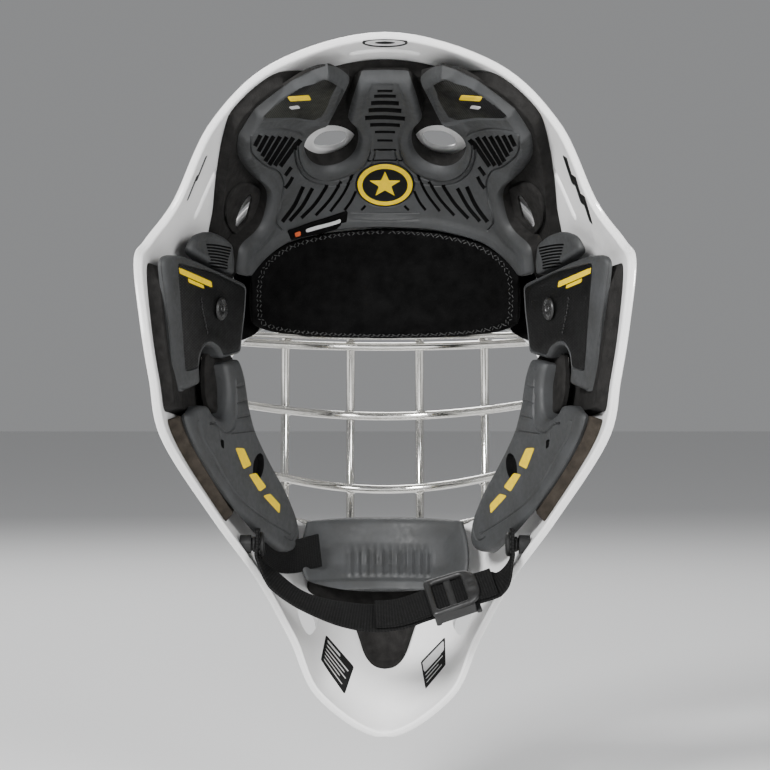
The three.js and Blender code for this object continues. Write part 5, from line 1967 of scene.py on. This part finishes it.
charcoal = foam("charcoal_foam", 0.015, 0.04)
brown_foam = foam("brown_foam", 0.03, 0.2)
pad_skin = moulded()
# near black: painted shade in the slots, holes and louvres of the moulded pads
slot_shade_look = slot_shade_paint()
film = inlay_film()
fabric = brushed_fabric()
weave = webbing_weave()
fuzzy = webbing_weave("loop_tape", 1.0)
steel = plated_steel()
acetal = black_acetal()
black_steel = painted("blackened_steel", grey(0.02), 0.35)
yellow_print = painted("yellow_print", (0.86, 0.6, 0.0))
white_print = painted("white_print", grey(0.55))
dark_print = painted("dark_print", grey(0.008))
orange_print = painted("orange_print", (0.55, 0.1, 0.03))
badge_black = painted("badge_black", grey(0.004))
grey_thread = thread("grey_thread", 0.06)
black_thread = thread("black_thread", 0.03)

make_shell([shell_inside(), shell_paint()])
make_cage(chrome())
make_clips(steel)
make_liners(charcoal, brown_foam)
make_crown([pad_skin, slot_shade_look, charcoal], film, [badge_black, yellow_print], [yellow_print, white_print])
make_temple_foam(charcoal)
make_temple_pads([pad_skin, slot_shade_look])
make_side_pads([pad_skin], side_film(), acetal, yellow_print, black_thread)
make_jaw_pads([pad_skin, slot_shade_look], charcoal, yellow_print)
make_chin_foam(charcoal)
make_chin_cup(pad_skin)
make_cup_tape(fuzzy)
make_strap(weave, fuzzy, black_steel, black_thread)
make_buckle(acetal)
make_studs(steel, black_steel)
make_sweat_pad(fabric, grey_thread)
make_tag(fabric, white_print, orange_print)
make_prints(dark_print, white_print)


# ---- studio -------------------------------------------------------------------------------


def studio_look(name, shade):
    made = bpy.data.materials.new(name)
    made.use_nodes = True
    shader = made.node_tree.nodes["Principled BSDF"]
    shader.inputs["Base Color"].default_value = (*grey(shade), 1)
    shader.inputs["Roughness"].default_value = 0.9
    return made


def make_floor(height, reach):
    data = bpy.data.meshes.new("floor")
    corners = [(-reach, -reach), (reach, -reach), (reach, reach), (-reach, reach)]
    data.from_pydata([(x, y, height) for x, y in corners], [], [(0, 1, 2, 3)])
    data.materials.append(studio_look("floor", 0.8))
    floor = bpy.data.objects.new("floor", data)
    bpy.context.scene.collection.objects.link(floor)


def light(name, place, target, size, power):
    data = bpy.data.lights.new(name, "AREA")
    data.shape, data.size, data.energy = "DISK", size, power
    made = bpy.data.objects.new(name, data)
    made.location = place
    made.rotation_euler = (Vector(target) - Vector(place)).to_track_quat("-Z", "Y").to_euler()
    bpy.context.scene.collection.objects.link(made)


def make_studio():
    make_floor(-0.235, 12)
    world = bpy.data.worlds.new("studio")
    world.use_nodes = True
    background = world.node_tree.nodes["Background"]
    background.inputs["Color"].default_value = (0.27, 0.273, 0.278, 1)
    background.inputs["Strength"].default_value = 1.0
    bpy.context.scene.world = world
    light("key", (0.95, 1.75, 0.95), (0, 0, 0), 0.55, 78)
    light("fill", (-1.1, 1.7, 0.35), (0, 0, 0), 0.8, 32)
    light("front", (0.4, -1.8, 1.6), (0, 0, 0), 1.5, 34)


FRAME_WIDTH = 379.6  # what the camera sees from side to side at the rear rim
SENSOR = 36.0


def make_camera():
    data = bpy.data.cameras.new("camera")
    data.sensor_width = SENSOR
    data.lens = SENSOR * (EYE_Y - REAR_Y) / FRAME_WIDTH
    data.clip_start, data.clip_end = 0.05, 60
    camera = bpy.data.objects.new("camera", data)
    camera.location = (0, EYE_Y * MM, 0)
    camera.rotation_euler = (math.pi / 2, 0, math.pi)
    bpy.context.scene.collection.objects.link(camera)
    bpy.context.scene.camera = camera


make_studio()
make_camera()
